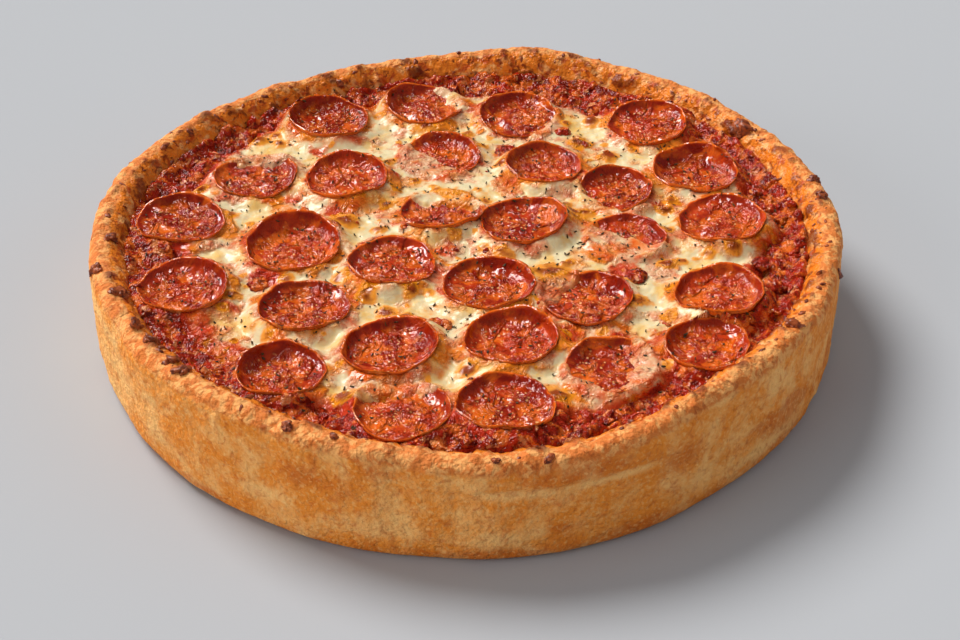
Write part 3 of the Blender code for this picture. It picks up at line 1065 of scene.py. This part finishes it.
@dataclass(frozen=True)
class Topping:
    """Where the slices lie, for the cheese and sauce that flow round them.

    Attributes:
        seats: The slices by number.
        covers: What lies over some of them.
        exposed: How much of a slice's side usually stands clear of the filling.
        overlap: How far the filling reaches into a slice's underside, so that no gap shows.
    """

    seats: dict[int, Seat]
    covers: Sequence[Cover] = COVERS
    exposed: float = 0.0007
    overlap: float = 0.0003

    def nearness(self, points: np.ndarray) -> np.ndarray:
        """Share of a slice's radius at which each point lies, for the nearest slice."""
        return np.min([seat.share(points[:, 0], points[:, 1]) for seat in self.seats.values()], axis=0)

    def rest(self, points: np.ndarray, height: np.ndarray) -> np.ndarray:
        """The height kept under every slice, drawn up its side to just below its rim."""
        exposed = self.exposed * (1 + 2.2 * Uneven(0.012, 33).at(points))
        height = height.copy()
        ceiling = np.full(len(height), np.inf)
        for seat in self.seats.values():
            near = polar(points - seat.centre)[1] < 1.7 * seat.radius
            x, y = points[near, 0], points[near, 1]
            share = seat.share(x, y)
            missing = np.maximum(seat.crest(x, y) - exposed[near] - height[near], 0)
            height[near] += smooth(1.42, 0.98, share) * missing
            under = np.where(share < 1, seat.under(x, y) + self.overlap, np.inf)
            ceiling[near] = np.minimum(ceiling[near], under)
        return np.minimum(height, ceiling)

    def cover(self, points: np.ndarray) -> tuple[np.ndarray, np.ndarray, np.ndarray]:
        """What lies over the slices.

        Args:
            points: Places on the filling.

        Returns:
            For each point the share covered, the height there and how pink it is.
        """
        mask, height, pink = (np.zeros(len(points)) for _ in range(3))
        ragged = 0.16 * Uneven(0.006, 31).at(points)
        for cover in self.covers:
            seat = self.seats[cover.slice]
            share = seat.share(points[:, 0], points[:, 1])
            way = math.radians(cover.direction)
            along = ((points[:, 0] - seat.centre[0]) * math.cos(way)
                     + (points[:, 1] - seat.centre[1]) * math.sin(way)) / seat.radius + ragged
            edge = 1 - 2 * cover.share
            here = smooth(edge - 0.10, edge + 0.12, along) * smooth(1.25, 1.0, share)
            over = seat.under(points[:, 0], points[:, 1]) + 0.0012 + cover.depth * smooth(1.15, 0.8, share)
            height = np.where(here > mask, over, height)
            pink = np.where(here > mask, cover.pink, pink)
            mask = np.maximum(mask, here)
        return mask, height, pink


@dataclass
class SauceBed:
    """The cooked tomato that fills the dough and shows round the cheese.

    Attributes:
        line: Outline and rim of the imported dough.
        topping: Where the slices lie.
        cheese_reach: The cheese's outline.
        level: Height of the open sauce.
        bottom: Height of its underside.
        buried: Height at which it lies under the cheese.
        half: Half the side of the square it fits in.
        spacing: Distance between its points.
        overlap: How far it reaches into the dough.
    """

    line: DoughLine
    topping: Topping
    cheese_reach: Callable[[np.ndarray], np.ndarray]
    level: float
    bottom: float
    buried: float = 0.0352
    half: float = 0.150
    spacing: float = 0.0009
    overlap: float = 0.0035

    def build(self, material: bpy.types.Material) -> bpy.types.Object:
        """Lays out the slab, then raises its top in lumps."""
        def reach(angle: np.ndarray) -> np.ndarray:
            """The sauce's edge, hidden inside the dough's inner wall."""
            return self.line.at(self.line.inner, angle) + self.overlap

        mesh = mesh_from(clipped_slab(reach, self.half, self.spacing), "tomato_sauce")
        points = coordinates(mesh)
        top = points[:, 2] > 0.5
        angle, radius = polar(points)
        flat = points * (1, 1, 0)
        edge = reach(angle) - radius
        open_part = smooth(-0.006, 0.002, radius - self.cheese_reach(angle))
        bent = flat + 0.0016 * np.column_stack([Uneven(0.005, seed).at(flat) for seed in (11, 12, 13)])
        lumps = 0.0012 * Pebbles(0.0070, 3).at(bent) + 0.0010 * Pebbles(0.0034, 4).at(bent)
        lumps += 0.0020 * Uneven(0.010, 14).at(flat) + 0.0005 * Uneven(0.0024, 15).at(flat)
        inwards = smooth(0.0, 0.003, edge)
        climb = 0.0030 * bell(edge, self.overlap, 0.0026) * (1 + 0.8 * Uneven(0.012, 16).at(flat))
        height = self.buried + (self.level - 0.0008 - self.buried + lumps * inwards + climb) * open_part
        height = self.topping.rest(flat, height)
        points[:, 2] = np.where(top, height, self.bottom)
        set_coordinates(mesh, points)
        char = smooth(-0.1, 0.6, Uneven(0.009, 17).at(flat))
        set_masks(mesh, roast=smooth(0.0006, 0.0032, lumps) * 0.6 + 0.5 * char * smooth(0.010, 0.0035, edge))
        return add_piece(mesh, material, "sauce", ["sauce"])


@dataclass
class CheeseBlanket:
    """The melted cheese, with blisters, oily rings and red stains.

    Attributes:
        topping: Where the slices lie.
        packed_radius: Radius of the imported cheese.
        level: Height of its edge.
        bottom: Height of its underside.
        seed: Seed of the blisters that aren't placed.
        spacing: Distance between its points.
        crown: How much higher its middle lies.
        blister_count: How many blisters it has.
        blistered: Radius within which the scattered ones lie.
        furthest: Largest radius of the outline.
        half: Half the side of the square it fits in.
        outline: Waves round the outline, size and turn in degrees of each.
        tongues: Direction, half width in degrees and reach of each.
        blisters: Direction, distance from the middle and radius of each.
        stains: Direction, distance from the middle, radius and strength of each.
    """

    topping: Topping
    packed_radius: float
    level: float
    bottom: float
    seed: int = 5
    spacing: float = 0.0008
    crown: float = 0.0008
    blister_count: int = 120
    blistered: float = 0.119
    furthest: float = 0.1332
    half: float = 0.134
    outline: Sequence[tuple[int, float, float]] = (
        (3, 0.0022, 100), (5, 0.0020, 20), (8, 0.0014, 8), (11, 0.0010, 25), (17, 0.0012, 50),
        (26, 0.0010, 10), (39, 0.0007, 30))
    tongues: Sequence[tuple[float, float, float]] = (
        (-113, 11, 0.0075), (-88, 6, 0.004), (-150, 9, 0.004), (70, 11, -0.006))
    blisters: Sequence[tuple[float, float, float]] = (
        (-43, 0.045, 0.0095), (171, 0.051, 0.0065), (178, 0.036, 0.004), (105, 0.030, 0.0065),
        (56, 0.088, 0.006), (45, 0.086, 0.005), (141, 0.120, 0.005), (139, 0.110, 0.004),
        (103, 0.088, 0.0055), (-8, 0.107, 0.004), (-90, 0.094, 0.005), (-73, 0.112, 0.006),
        (-119, 0.064, 0.005), (-130, 0.060, 0.005), (-39, 0.081, 0.005), (-16, 0.082, 0.0045),
        (168, 0.124, 0.006), (59, 0.107, 0.005), (-117, 0.049, 0.004), (12, 0.045, 0.0035))
    stains: Sequence[tuple[float, float, float, float]] = (
        (-175, 0.088, 0.008, 0.9), (-157, 0.086, 0.008, 1.2), (-146, 0.122, 0.011, 1.0),
        (-138, 0.118, 0.009, 1.0), (-150, 0.106, 0.007, 0.9), (-98, 0.110, 0.007, 0.8),
        (-122, 0.015, 0.007, 0.9), (-110, 0.030, 0.006, 0.8), (-62, 0.080, 0.008, 0.9),
        (-53, 0.093, 0.009, 1.1), (-65, 0.107, 0.009, 1.3), (-25, 0.067, 0.008, 1.1),
        (-8, 0.059, 0.009, 0.8), (15, 0.087, 0.008, 0.8), (77, 0.068, 0.007, 1.0), (89, 0.104, 0.009, 0.8),
        (99, 0.049, 0.009, 0.9), (127, 0.054, 0.005, 0.8), (113, 0.077, 0.004, 0.9),
        (135, 0.093, 0.005, 0.8), (145, 0.098, 0.006, 0.8), (42, 0.065, 0.005, 0.8),
        (34, 0.077, 0.007, 1.1), (70, 0.084, 0.008, 0.8), (165, 0.058, 0.006, 1.0),
        (-132, 0.064, 0.006, 0.8), (-111, 0.122, 0.009, 1.2), (-13, 0.119, 0.008, 1.3),
        (-45, 0.104, 0.008, 1.0), (-30, 0.096, 0.006, 0.8), (160, 0.078, 0.006, 0.8),
        (-165, 0.101, 0.006, 0.8))

    def reach(self, angle: np.ndarray) -> np.ndarray:
        """The cheese's uneven outline at angles in radians."""
        radius = self.packed_radius + sum(size * np.cos(count * angle - math.radians(turn))
                                          for count, size, turn in self.outline)
        for way, width, more in self.tongues:
            radius = radius + more * bell(turn_between(angle, way), 0.0, width)
        return np.minimum(radius, self.furthest)

    def _spots(self) -> list[tuple[float, float, float]]:
        """Placed and scattered blisters: x, y and radius of each."""
        own = random.Random(self.seed)
        spots = [(*spot_at(math.radians(way), dist), size) for way, dist, size in self.blisters]
        while len(spots) < self.blister_count:
            x, y = spot_at(own.uniform(0, 2 * math.pi), self.blistered * math.sqrt(own.random()))
            if self.topping.nearness(np.array([[x, y, 0.0]]))[0] > 1.08:
                spots.append((x, y, own.uniform(0.0012, 0.0042)))
        return spots

    def build(self, material: bpy.types.Material) -> bpy.types.Object:
        """Lays out the blanket, raises its blisters and stains it."""
        mesh = mesh_from(clipped_slab(self.reach, self.half, self.spacing), "cheese_blanket")
        points = coordinates(mesh)
        top = points[:, 2] > 0.5
        angle, radius = polar(points)
        flat = points * (1, 1, 0)
        edge = self.reach(angle) - radius
        nearness = self.topping.nearness(flat)
        swell = 0.0010 * Uneven(0.017, 21).at(flat) + 0.0006 * Uneven(0.007, 22).at(flat)
        swell += 0.00018 * Uneven(0.0025, 23).at(flat)
        height = self.level + self.crown * (1 - (radius / self.packed_radius) ** 2) + swell
        brown = 0.3 * smooth(0.0, 0.7, Uneven(0.022, 24).at(flat))
        warp = 0.0012 * Uneven(0.004, 25).at(flat)
        for x, y, size in self._spots():
            away = np.hypot(flat[:, 0] - x, flat[:, 1] - y) + warp
            dome = smooth(1.15 * size, 0.2 * size, away)
            height = height + 0.3 * size * dome
            brown = np.maximum(brown, smooth(1.5 * size, 0.05 * size, away) * min(1.2, 0.6 + 130 * size))
        ring = smooth(1.40, 1.02, nearness + 0.22 * Uneven(0.012, 30).at(flat))
        patch = Uneven(0.019, 32).at(flat)
        stain = 1.1 * smooth(0.012, 0.0, edge) + 0.6 * smooth(0.0, 0.5, Uneven(0.017, 28).at(flat))
        stain = np.maximum(stain, 0.75 * ring * smooth(0.3, -0.3, patch))
        for way, dist, size, strength in self.stains:
            x, y = spot_at(math.radians(way), dist)
            away = np.hypot(flat[:, 0] - x, flat[:, 1] - y) + 2 * warp
            stain = np.maximum(stain, strength * smooth(1.5 * size, 0.2 * size, away))
        height += 0.0009 * smooth(0.4, 0.9, stain) * Pebbles(0.0034, 29).at(flat + 2 * warp[:, None])
        height -= 0.0030 * smooth(0.007, 0.0, edge + 0.0018 * Uneven(0.006, 26).at(flat))
        height = self.topping.rest(flat, height)
        covered, over, pink = self.topping.cover(flat)
        over = over + 0.5 * swell + 0.0003 * Uneven(0.004, 27).at(flat)
        height = np.where(covered > 0, height * (1 - covered) + np.maximum(over, height) * covered, height)
        points[:, 2] = np.where(top, height, self.bottom)
        set_coordinates(mesh, points)
        oil = 0.9 * ring * smooth(-0.3, 0.3, patch) + 0.6 * smooth(0.1, 0.6, patch)
        bare = 1 - 0.5 * covered
        set_masks(mesh, brown=brown * bare, oil=oil * bare, stain=np.where(covered > 0.3, pink * 0.8, stain))
        return add_piece(mesh, material, "cheese", ["cheese"])


# ---------------------------------------------------------------- slices


@dataclass
class CuppedSlice:
    """One slice of cured sausage that curled into a cup as it baked.

    Attributes:
        seat: Its place and shape.
        rays: Faces round it.
        inner_rings: Faces from the middle of its upper side to the rim.
        outer_rings: Faces from the rim to the middle of its underside.
        hub: Share of the radius that the innermost face takes up.
        thickness: Thickness at the middle.
        rim_thickness: Thickness at the rim.
    """

    seat: Seat
    rays: int = 96
    inner_rings: int = 24
    outer_rings: int = 8
    hub: float = 0.05
    thickness: float = 0.0012
    rim_thickness: float = 0.0006

    def build(self, material: bpy.types.Material) -> bpy.types.Object:
        """Bends a tube into the slice's own cup, inner side first."""
        own = random.Random(100 + self.seat.number)
        rings = self.inner_rings + self.outer_rings
        mesh = unit_tube(rings, self.rays, f"slice_{self.seat.number:02d}")
        unit = coordinates(mesh)
        angle = polar(unit)[0]
        ring = unit[:, 2] * rings
        upper = ring <= self.inner_rings + 0.01
        along = np.where(upper, ring / self.inner_rings, (rings - ring) / self.outer_rings)
        along = self.hub + (1 - self.hub) * np.clip(along, 0, 1)
        share, rise, turn = self.seat.section(along)
        radius = self.seat.outline(angle) * share
        height = self.seat.depth(angle) * rise
        thick = self.thickness + (self.rim_thickness - self.thickness) * along ** 3
        thick = thick * np.sqrt(np.clip(1 - ((along - 0.94) / 0.06).clip(0, 1) ** 2, 0, 1))
        side = np.where(upper, 0.5, -0.5) * thick
        radius = radius - side * np.sin(turn)
        height = height + side * np.cos(turn) + self.thickness / 2
        local = turned(angle, radius, height)
        seeded = local + (self.seat.number, 0, 0)
        bump = 0.0008 * Uneven(0.0064, 41).at(seeded) + 0.0003 * Uneven(0.0022, 42).at(seeded)
        dome = own.uniform(-0.0004, 0.0014) * smooth(0.6, 0.0, along)
        local[:, 2] += bump * smooth(1.0, 0.8, along) + dome
        local[:, :2] *= (1 + 0.8 * bump * rise / self.seat.radius)[:, None]
        set_coordinates(mesh, self.seat.centre + local @ self.seat.across.T)
        face_outwards(mesh)
        low_spot = smooth(0.0002, -0.0004, bump) * bell(along, 0.40, 0.3)
        # The rim mask takes in the cup's outer side: its orange is partly a painted glow of light through the
        # thin edge, its lightest line a painted highlight.
        rim = np.maximum(smooth(0.93, 0.995, along), np.where(upper, 0.0, smooth(0.1, 0.5, rise)))
        # The wall mask paints shade up the inside of the cup; it also calms the relief and sets the roughness
        # there.
        set_masks(mesh, wall=smooth(0.03, 0.5, rise) * np.where(upper, 1.0, 0.1), rim=rim,
                  pool=low_spot * upper, own=np.full(len(unit), own.random()))
        return add_piece(mesh, material, "pepperoni", [self.seat.node])


# ---------------------------------------------------------------- lumps and scatter


@dataclass
class TomatoChunk:
    """One soft roasted chunk of tomato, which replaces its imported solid."""

    node: str
    number: int
    shrink: float = 0.0003

    def build(self, material: bpy.types.Material) -> bpy.types.Object:
        """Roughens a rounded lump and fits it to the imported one's place."""
        low, high = (Vector(corner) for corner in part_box(self.node))
        half = (high - low) / 2
        place = Matrix.Translation((low + high) / 2) @ Matrix.Diagonal((half.x, half.y, half.z, 1))
        shape = bmesh.new()
        bmesh.ops.create_icosphere(shape, subdivisions=5, radius=1.0, matrix=place)
        mesh = mesh_from(shape, f"tomato_chunk_{self.number:02d}")
        points = coordinates(mesh)
        push = 0.0011 * Uneven(0.006, 50 + self.number).at(points) + 0.0005 * Uneven(0.0022, 60).at(points)
        set_coordinates(mesh, push_out(mesh, points, push - self.shrink))
        set_masks(mesh, roast=0.3 + 0.6 * smooth(0.0, 1.0, Uneven(0.006, 61).at(points)))
        return add_piece(mesh, material, "tomato", [self.node])


class Shape(Enum):
    """A scattered thing's plain form: how rough it is, and how it is made."""

    CHUNK = (0.50, 3)
    CRUMB = (0.50, 2)
    FLAKE = (0.0, 0)

    def make(self) -> bpy.types.Mesh:
        """The form at a width of 2, about the origin."""
        shape = bmesh.new()
        divisions = self.value[1]
        if divisions:
            bmesh.ops.create_icosphere(shape, subdivisions=divisions, radius=1.0)
        else:
            bmesh.ops.create_grid(shape, x_segments=3, y_segments=1, size=1.0)
            for vert in shape.verts:
                vert.co.y *= 1 - 0.55 * abs(vert.co.x)
                vert.co.z = 0.45 * vert.co.x ** 2
            bmesh.ops.solidify(shape, geom=shape.faces[:], thickness=0.18)
            bmesh.ops.recalc_face_normals(shape, faces=shape.faces)
        return mesh_from(shape, self.name.lower())


@dataclass(frozen=True)
class Surface:
    """What scattered things are dropped on."""

    pieces: Sequence[bpy.types.Object]

    def tree(self) -> BVHTree:
        """One search tree for all the pieces."""
        shape = bmesh.new()
        for piece in self.pieces:
            shape.from_mesh(piece.data)
        tree = BVHTree.FromBMesh(shape)
        shape.free()
        return tree


@dataclass
class Scatter:
    """Many small things of one kind, joined in one mesh.

    Attributes:
        name: The piece's name.
        slot: The record's material slot.
        ground: What the things lie on.
        seed: Seed of their places and shapes.
        things: Form, place and own random offset of each.
    """

    name: str
    slot: str
    ground: BVHTree
    seed: int
    things: list[tuple[Shape, Matrix, np.ndarray]] = field(default_factory=list)

    def __post_init__(self) -> None:
        """Starts the piece's own random draws."""
        self.own = random.Random(self.seed)

    def put(self, shape: Shape, x: float, y: float, size: Sequence[float], sink: float, tilt: float) -> None:
        """Lays one thing on the ground.

        Args:
            shape: Its form.
            x: Its place.
            y: Its place.
            size: Its length, width and height.
            sink: How deep it sits, as a share of its height.
            tilt: The most that it leans, in radians.
        """
        place, normal, _, _ = self.ground.ray_cast(Vector((x, y, 0.1)), Vector((0, 0, -1)))
        if place is None:
            return
        turn = Vector((0, 0, 1)).rotation_difference(normal).to_matrix().to_4x4()
        own = self.own
        spin = Euler((own.uniform(-tilt, tilt), own.uniform(-tilt, tilt), own.uniform(0, 2 * math.pi)))
        scale = Matrix.Diagonal((*(side / 2 for side in size), 1))
        lift = Matrix.Translation(place + normal * size[2] * (0.5 - sink))
        offset = np.array([own.uniform(-50, 50) for _ in range(3)])
        self.things.append((shape, lift @ turn @ spin.to_matrix().to_4x4() @ scale, offset))

    def finish(self, material: bpy.types.Material) -> bpy.types.Object:
        """Joins the things as one piece, each roughened in its own way."""
        forms = {shape: shape.make() for shape in {thing[0] for thing in self.things}}
        joined = bmesh.new()
        for shape, _, _ in self.things:
            joined.from_mesh(forms[shape])
        counts = [len(forms[shape].vertices) for shape, _, _ in self.things]
        mesh = mesh_from(joined, self.name)
        points = coordinates(mesh)
        offsets = np.repeat([offset for _, _, offset in self.things], counts, axis=0)
        rough = np.repeat([shape.value[0] for shape, _, _ in self.things], counts)
        points *= (1 + rough * Uneven(0.9).at(points + offsets))[:, None]
        matrices = np.repeat([np.array(matrix) for _, matrix, _ in self.things], counts, axis=0)
        set_coordinates(mesh, np.einsum("nij,nj->ni", matrices[:, :3, :3], points) + matrices[:, :3, 3])
        for form in forms.values():
            bpy.data.meshes.remove(form)
        return add_piece(mesh, material, self.slot)


# ---------------------------------------------------------------- studio


@dataclass
class Studio:
    """Grey floor, soft lights and the camera.

    Attributes:
        floor_colour: Colour of the paper.
        suns: Name, direction, strength and softness in degrees of each light.
        widest_highlight: Softness at and above which a light leaves no highlight.
        light_colour: Colour of the lights.
        room: Brightness of the pale room all round.
        room_colour: Its colour.
        room_gloss: Its brightness as wet surfaces mirror it.
        lens: Focal length of the camera in millimetres.
        eye: Where the camera stands.
        target: What it looks at.
    """

    floor_colour: Colour = srgb(173, 176, 181)
    suns: Sequence[tuple[str, tuple[float, float, float], float, float]] = (
        ("key", (-0.49, 0.48, 0.73), 3.75, 28), ("side", (-0.90, -0.42, 0.20), 1.55, 50),
        ("return", (0.95, -0.15, 0.30), 0.45, 60))
    widest_highlight: float = 40.0
    light_colour: tuple[float, float, float] = (1.0, 0.97, 0.93)
    room: float = 0.33
    room_colour: Colour = (0.96, 0.98, 1.0, 1.0)
    room_gloss: float = 0.10
    lens: float = 65.74
    eye: tuple[float, float, float] = (0.0049, -0.6009, 0.4285)
    target: tuple[float, float, float] = (0.0049, -0.0324, 0.020)

    def build(self) -> None:
        """Makes all of it."""
        bpy.context.scene.view_settings.view_transform = "Standard"
        self._floor()
        for name, way, strength, softness in self.suns:
            self._light(name, way, strength, softness)
        self._room()
        camera = new_object("camera", bpy.data.cameras.new("camera"))
        camera.data.lens = self.lens
        camera.data.sensor_width = 36.0
        camera.data.clip_start = 0.01
        camera.location = self.eye
        camera.rotation_euler = (Vector(self.target) - Vector(self.eye)).to_track_quat("-Z", "Y").to_euler()
        bpy.context.scene.camera = camera

    def _room(self) -> None:
        """An even pale room, mirrored more darkly than it lights."""
        world = bpy.data.worlds.new("studio_air")
        bpy.context.scene.world = world
        world.use_nodes = True
        graph = Graph(world.node_tree)
        air = world.node_tree.nodes["Background"]
        air.inputs["Color"].default_value = self.room_colour
        mirrored = graph.add("LightPath").outputs["Is Glossy Ray"]
        dimmed = graph.math("MULTIPLY", mirrored, self.room - self.room_gloss)
        graph.feed(air.inputs["Strength"], graph.math("SUBTRACT", self.room, dimmed))

    def _floor(self) -> None:
        """A wide matte sheet of paper."""
        shape = bmesh.new()
        bmesh.ops.create_grid(shape, x_segments=8, y_segments=8, size=4.0)
        mesh = mesh_from(shape, "studio_floor")
        material = bpy.data.materials.new("studio_paper")
        material.use_nodes = True
        graph = Graph(material.node_tree)
        shader = material.node_tree.nodes["Principled BSDF"]
        shader.inputs["Roughness"].default_value = 0.9
        shader.inputs["Specular IOR Level"].default_value = 0.1
        cloudy = graph.blend(graph.noise(3, 2), self.floor_colour, tuple(c * 0.97 for c in self.floor_colour))
        graph.feed(shader.inputs["Base Color"], cloudy)
        mesh.materials.append(material)
        new_object(mesh.name, mesh)

    def _light(self, name: str, way: Sequence[float], strength: float, softness: float) -> None:
        """A far soft light that shines from a direction; the widest leave no highlights."""
        data = bpy.data.lights.new(name, "SUN")
        data.energy, data.angle = strength, math.radians(softness)
        data.color = self.light_colour
        light = new_object(name, data)
        light.location = Vector(way).normalized() * 2
        light.rotation_euler = light.location.to_track_quat("Z", "Y").to_euler()
        light.visible_glossy = softness < self.widest_highlight


# ---------------------------------------------------------------- the pizza


@dataclass
class Pizza:
    """Everything edible, built from the dough outwards.

    Attributes:
        nodes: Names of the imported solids.
        effects: The shared shader groups.
        wall: Least thickness of the dough's wall.
        sauce_level: Height of the open sauce.
        cheese_level: Height of the cheese's edge.
        cheese_radius: Radius of the cheese.
        band_chunks: How many tomato chunks are tried in the open sauce.
        loose_chunks: How many are tried on the cheese.
        crisp_lumps: Direction, distance from the middle and size of each lump on the rim.
        crumbs: How many crumbs are scattered on the rim.
        flakes: How many herb flakes are scattered.
    """

    nodes: Sequence[str]
    effects: Effects = field(default_factory=Effects)
    wall: float = 0.006
    sauce_level: float = 0.0388
    cheese_level: float = 0.0396
    cheese_radius: float = 0.1235
    band_chunks: int = 150
    loose_chunks: int = 40
    crisp_lumps: Sequence[tuple[float, float, float]] = (
        (-114.6, 0.1475, 0.0036), (-108, 0.146, 0.0034), (32, 0.143, 0.009), (12, 0.1480, 0.005),
        (6, 0.1465, 0.005), (-32, 0.143, 0.006), (-175, 0.1435, 0.006), (-166, 0.149, 0.005),
        (-159, 0.142, 0.007), (-149, 0.143, 0.006), (-144, 0.1425, 0.007), (-135, 0.1445, 0.007),
        (-138, 0.143, 0.005), (-86, 0.1490, 0.0030), (-79, 0.1490, 0.0032))
    crumbs: int = 130
    flakes: int = 1300

    def numbered(self, stem: str) -> list[tuple[str, int]]:
        """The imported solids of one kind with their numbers."""
        return [(name, int(name.rsplit("_", 1)[1])) for name in sorted(self.nodes)
                if name.startswith(stem + "_")]

    def build(self) -> None:
        """Builds the dough, the filling, the slices and what is scattered on them."""
        sauce_low, sauce_high = (Vector(c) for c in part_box("sauce"))
        cheese_low = Vector(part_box("cheese")[0])
        line = DoughLine.read(bpy.data.objects["crust"], sauce_high.z, self.wall)
        seats = {number: Seat.read(name, number) for name, number in self.numbered("pepperoni")}
        topping = Topping(seats)
        dough = Dough(line).build(DoughFinish().build(self.effects))
        blanket = CheeseBlanket(topping, self.cheese_radius, self.cheese_level, cheese_low.z)
        sauce_finish = SauceFinish().build(self.effects)
        sauce = SauceBed(line, topping, blanket.reach, self.sauce_level, sauce_low.z).build(sauce_finish)
        cheese = blanket.build(CheeseFinish().build(self.effects))
        sausage = SausageFinish().build(self.effects)
        slices = [CuppedSlice(seat).build(sausage) for seat in seats.values()]
        chunks = [TomatoChunk(*chunk).build(sauce_finish) for chunk in self.numbered("tomato")]
        filling = Surface([sauce, cheese, *slices, *chunks]).tree()
        everything = Surface([dough, sauce, cheese, *slices, *chunks]).tree()
        self.sauce_lumps(filling, topping, blanket, line, sauce_finish)
        self.rim_crumbs(everything, line)
        self.herbs(everything)

    def sauce_lumps(self, ground: BVHTree, topping: Topping, blanket: CheeseBlanket, line: DoughLine,
                    material: bpy.types.Material) -> None:
        """Chunks of tomato in the sauce band and a few on the cheese."""
        scatter = Scatter("sauce_chunks", "sauce", ground, 11)
        own = scatter.own
        for index in range(self.band_chunks + self.loose_chunks):
            in_band = index < self.band_chunks
            way = own.uniform(-math.pi, math.pi)
            angle = np.array([way])
            inner = float(blanket.reach(angle)[0]) - 0.003
            outer = float(line.at(line.inner, angle)[0]) + 0.001
            x, y = spot_at(way, own.uniform(inner, outer) if in_band else 0.118 * math.sqrt(own.random()))
            if topping.nearness(np.array([[x, y, 0.0]]))[0] > 1.05:
                width = own.uniform(0.0024, 0.0062) if in_band else own.uniform(0.0012, 0.0036)
                size = (width * own.uniform(1.0, 1.8), width, width * own.uniform(0.4, 0.7))
                scatter.put(Shape.CHUNK, x, y, size, 0.62, 0.3)
        scatter.finish(material)

    def rim_crumbs(self, ground: BVHTree, line: DoughLine) -> None:
        """Caramelised crumbs and crisp lumps along the rim."""
        dark = SpeckFinish("caramelised_crumb", srgb(162, 76, 30), srgb(100, 36, 12), 0.45, 500)
        scatter = Scatter("rim_crumbs", "crust", ground, 12)
        own = scatter.own
        for way, dist, size in self.crisp_lumps:
            middle = spot_at(math.radians(way), dist)
            for part in range(4):
                x, y = (along + own.uniform(-0.4, 0.4) * size * min(part, 1) for along in middle)
                bit = size * (0.8 if part == 0 else own.uniform(0.3, 0.6))
                scatter.put(Shape.CHUNK, x, y, (bit * 1.4, bit, bit * 0.7), 0.5, 0.4)
        for _ in range(self.crumbs):
            way = own.uniform(-math.pi, math.pi)
            inner = float(line.at(line.inner, np.array([way]))[0])
            outer = float(line.at(line.outer, np.array([way]))[0])
            dist = inner + (outer - inner) * own.betavariate(1.6, 2.6)
            size = own.uniform(0.0006, 0.0020) * (1.7 if own.random() < 0.12 else 1.0)
            shape = (size * own.uniform(1.0, 2.2), size, size * 0.6)
            scatter.put(Shape.CRUMB, *spot_at(way, dist), shape, 0.55, 0.3)
        scatter.finish(dark.build(self.effects))

    def herbs(self, ground: BVHTree) -> None:
        """Dried herb flakes over the whole top."""
        green = SpeckFinish("dried_herb", srgb(86, 62, 16), srgb(42, 28, 6), 0.8, 1600)
        scatter = Scatter("herb_flecks", "cheese", ground, 13)
        own = scatter.own
        for _ in range(self.flakes):
            way, dist = own.uniform(-math.pi, math.pi), 0.134 * own.random() ** 0.6
            length = own.uniform(0.0006, 0.0018)
            shape = (length, own.uniform(0.0004, 0.0011), length)
            scatter.put(Shape.FLAKE, *spot_at(way, dist), shape, 0.3, 0.5)
        scatter.finish(green.build(self.effects))


def main() -> None:
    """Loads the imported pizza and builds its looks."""
    logging.basicConfig(level=logging.INFO, format="%(name)s: %(message)s")
    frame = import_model()
    Pizza(sorted(frame["nodes"])).build()
    Studio().build()


if __name__ == "__main__":
    main()
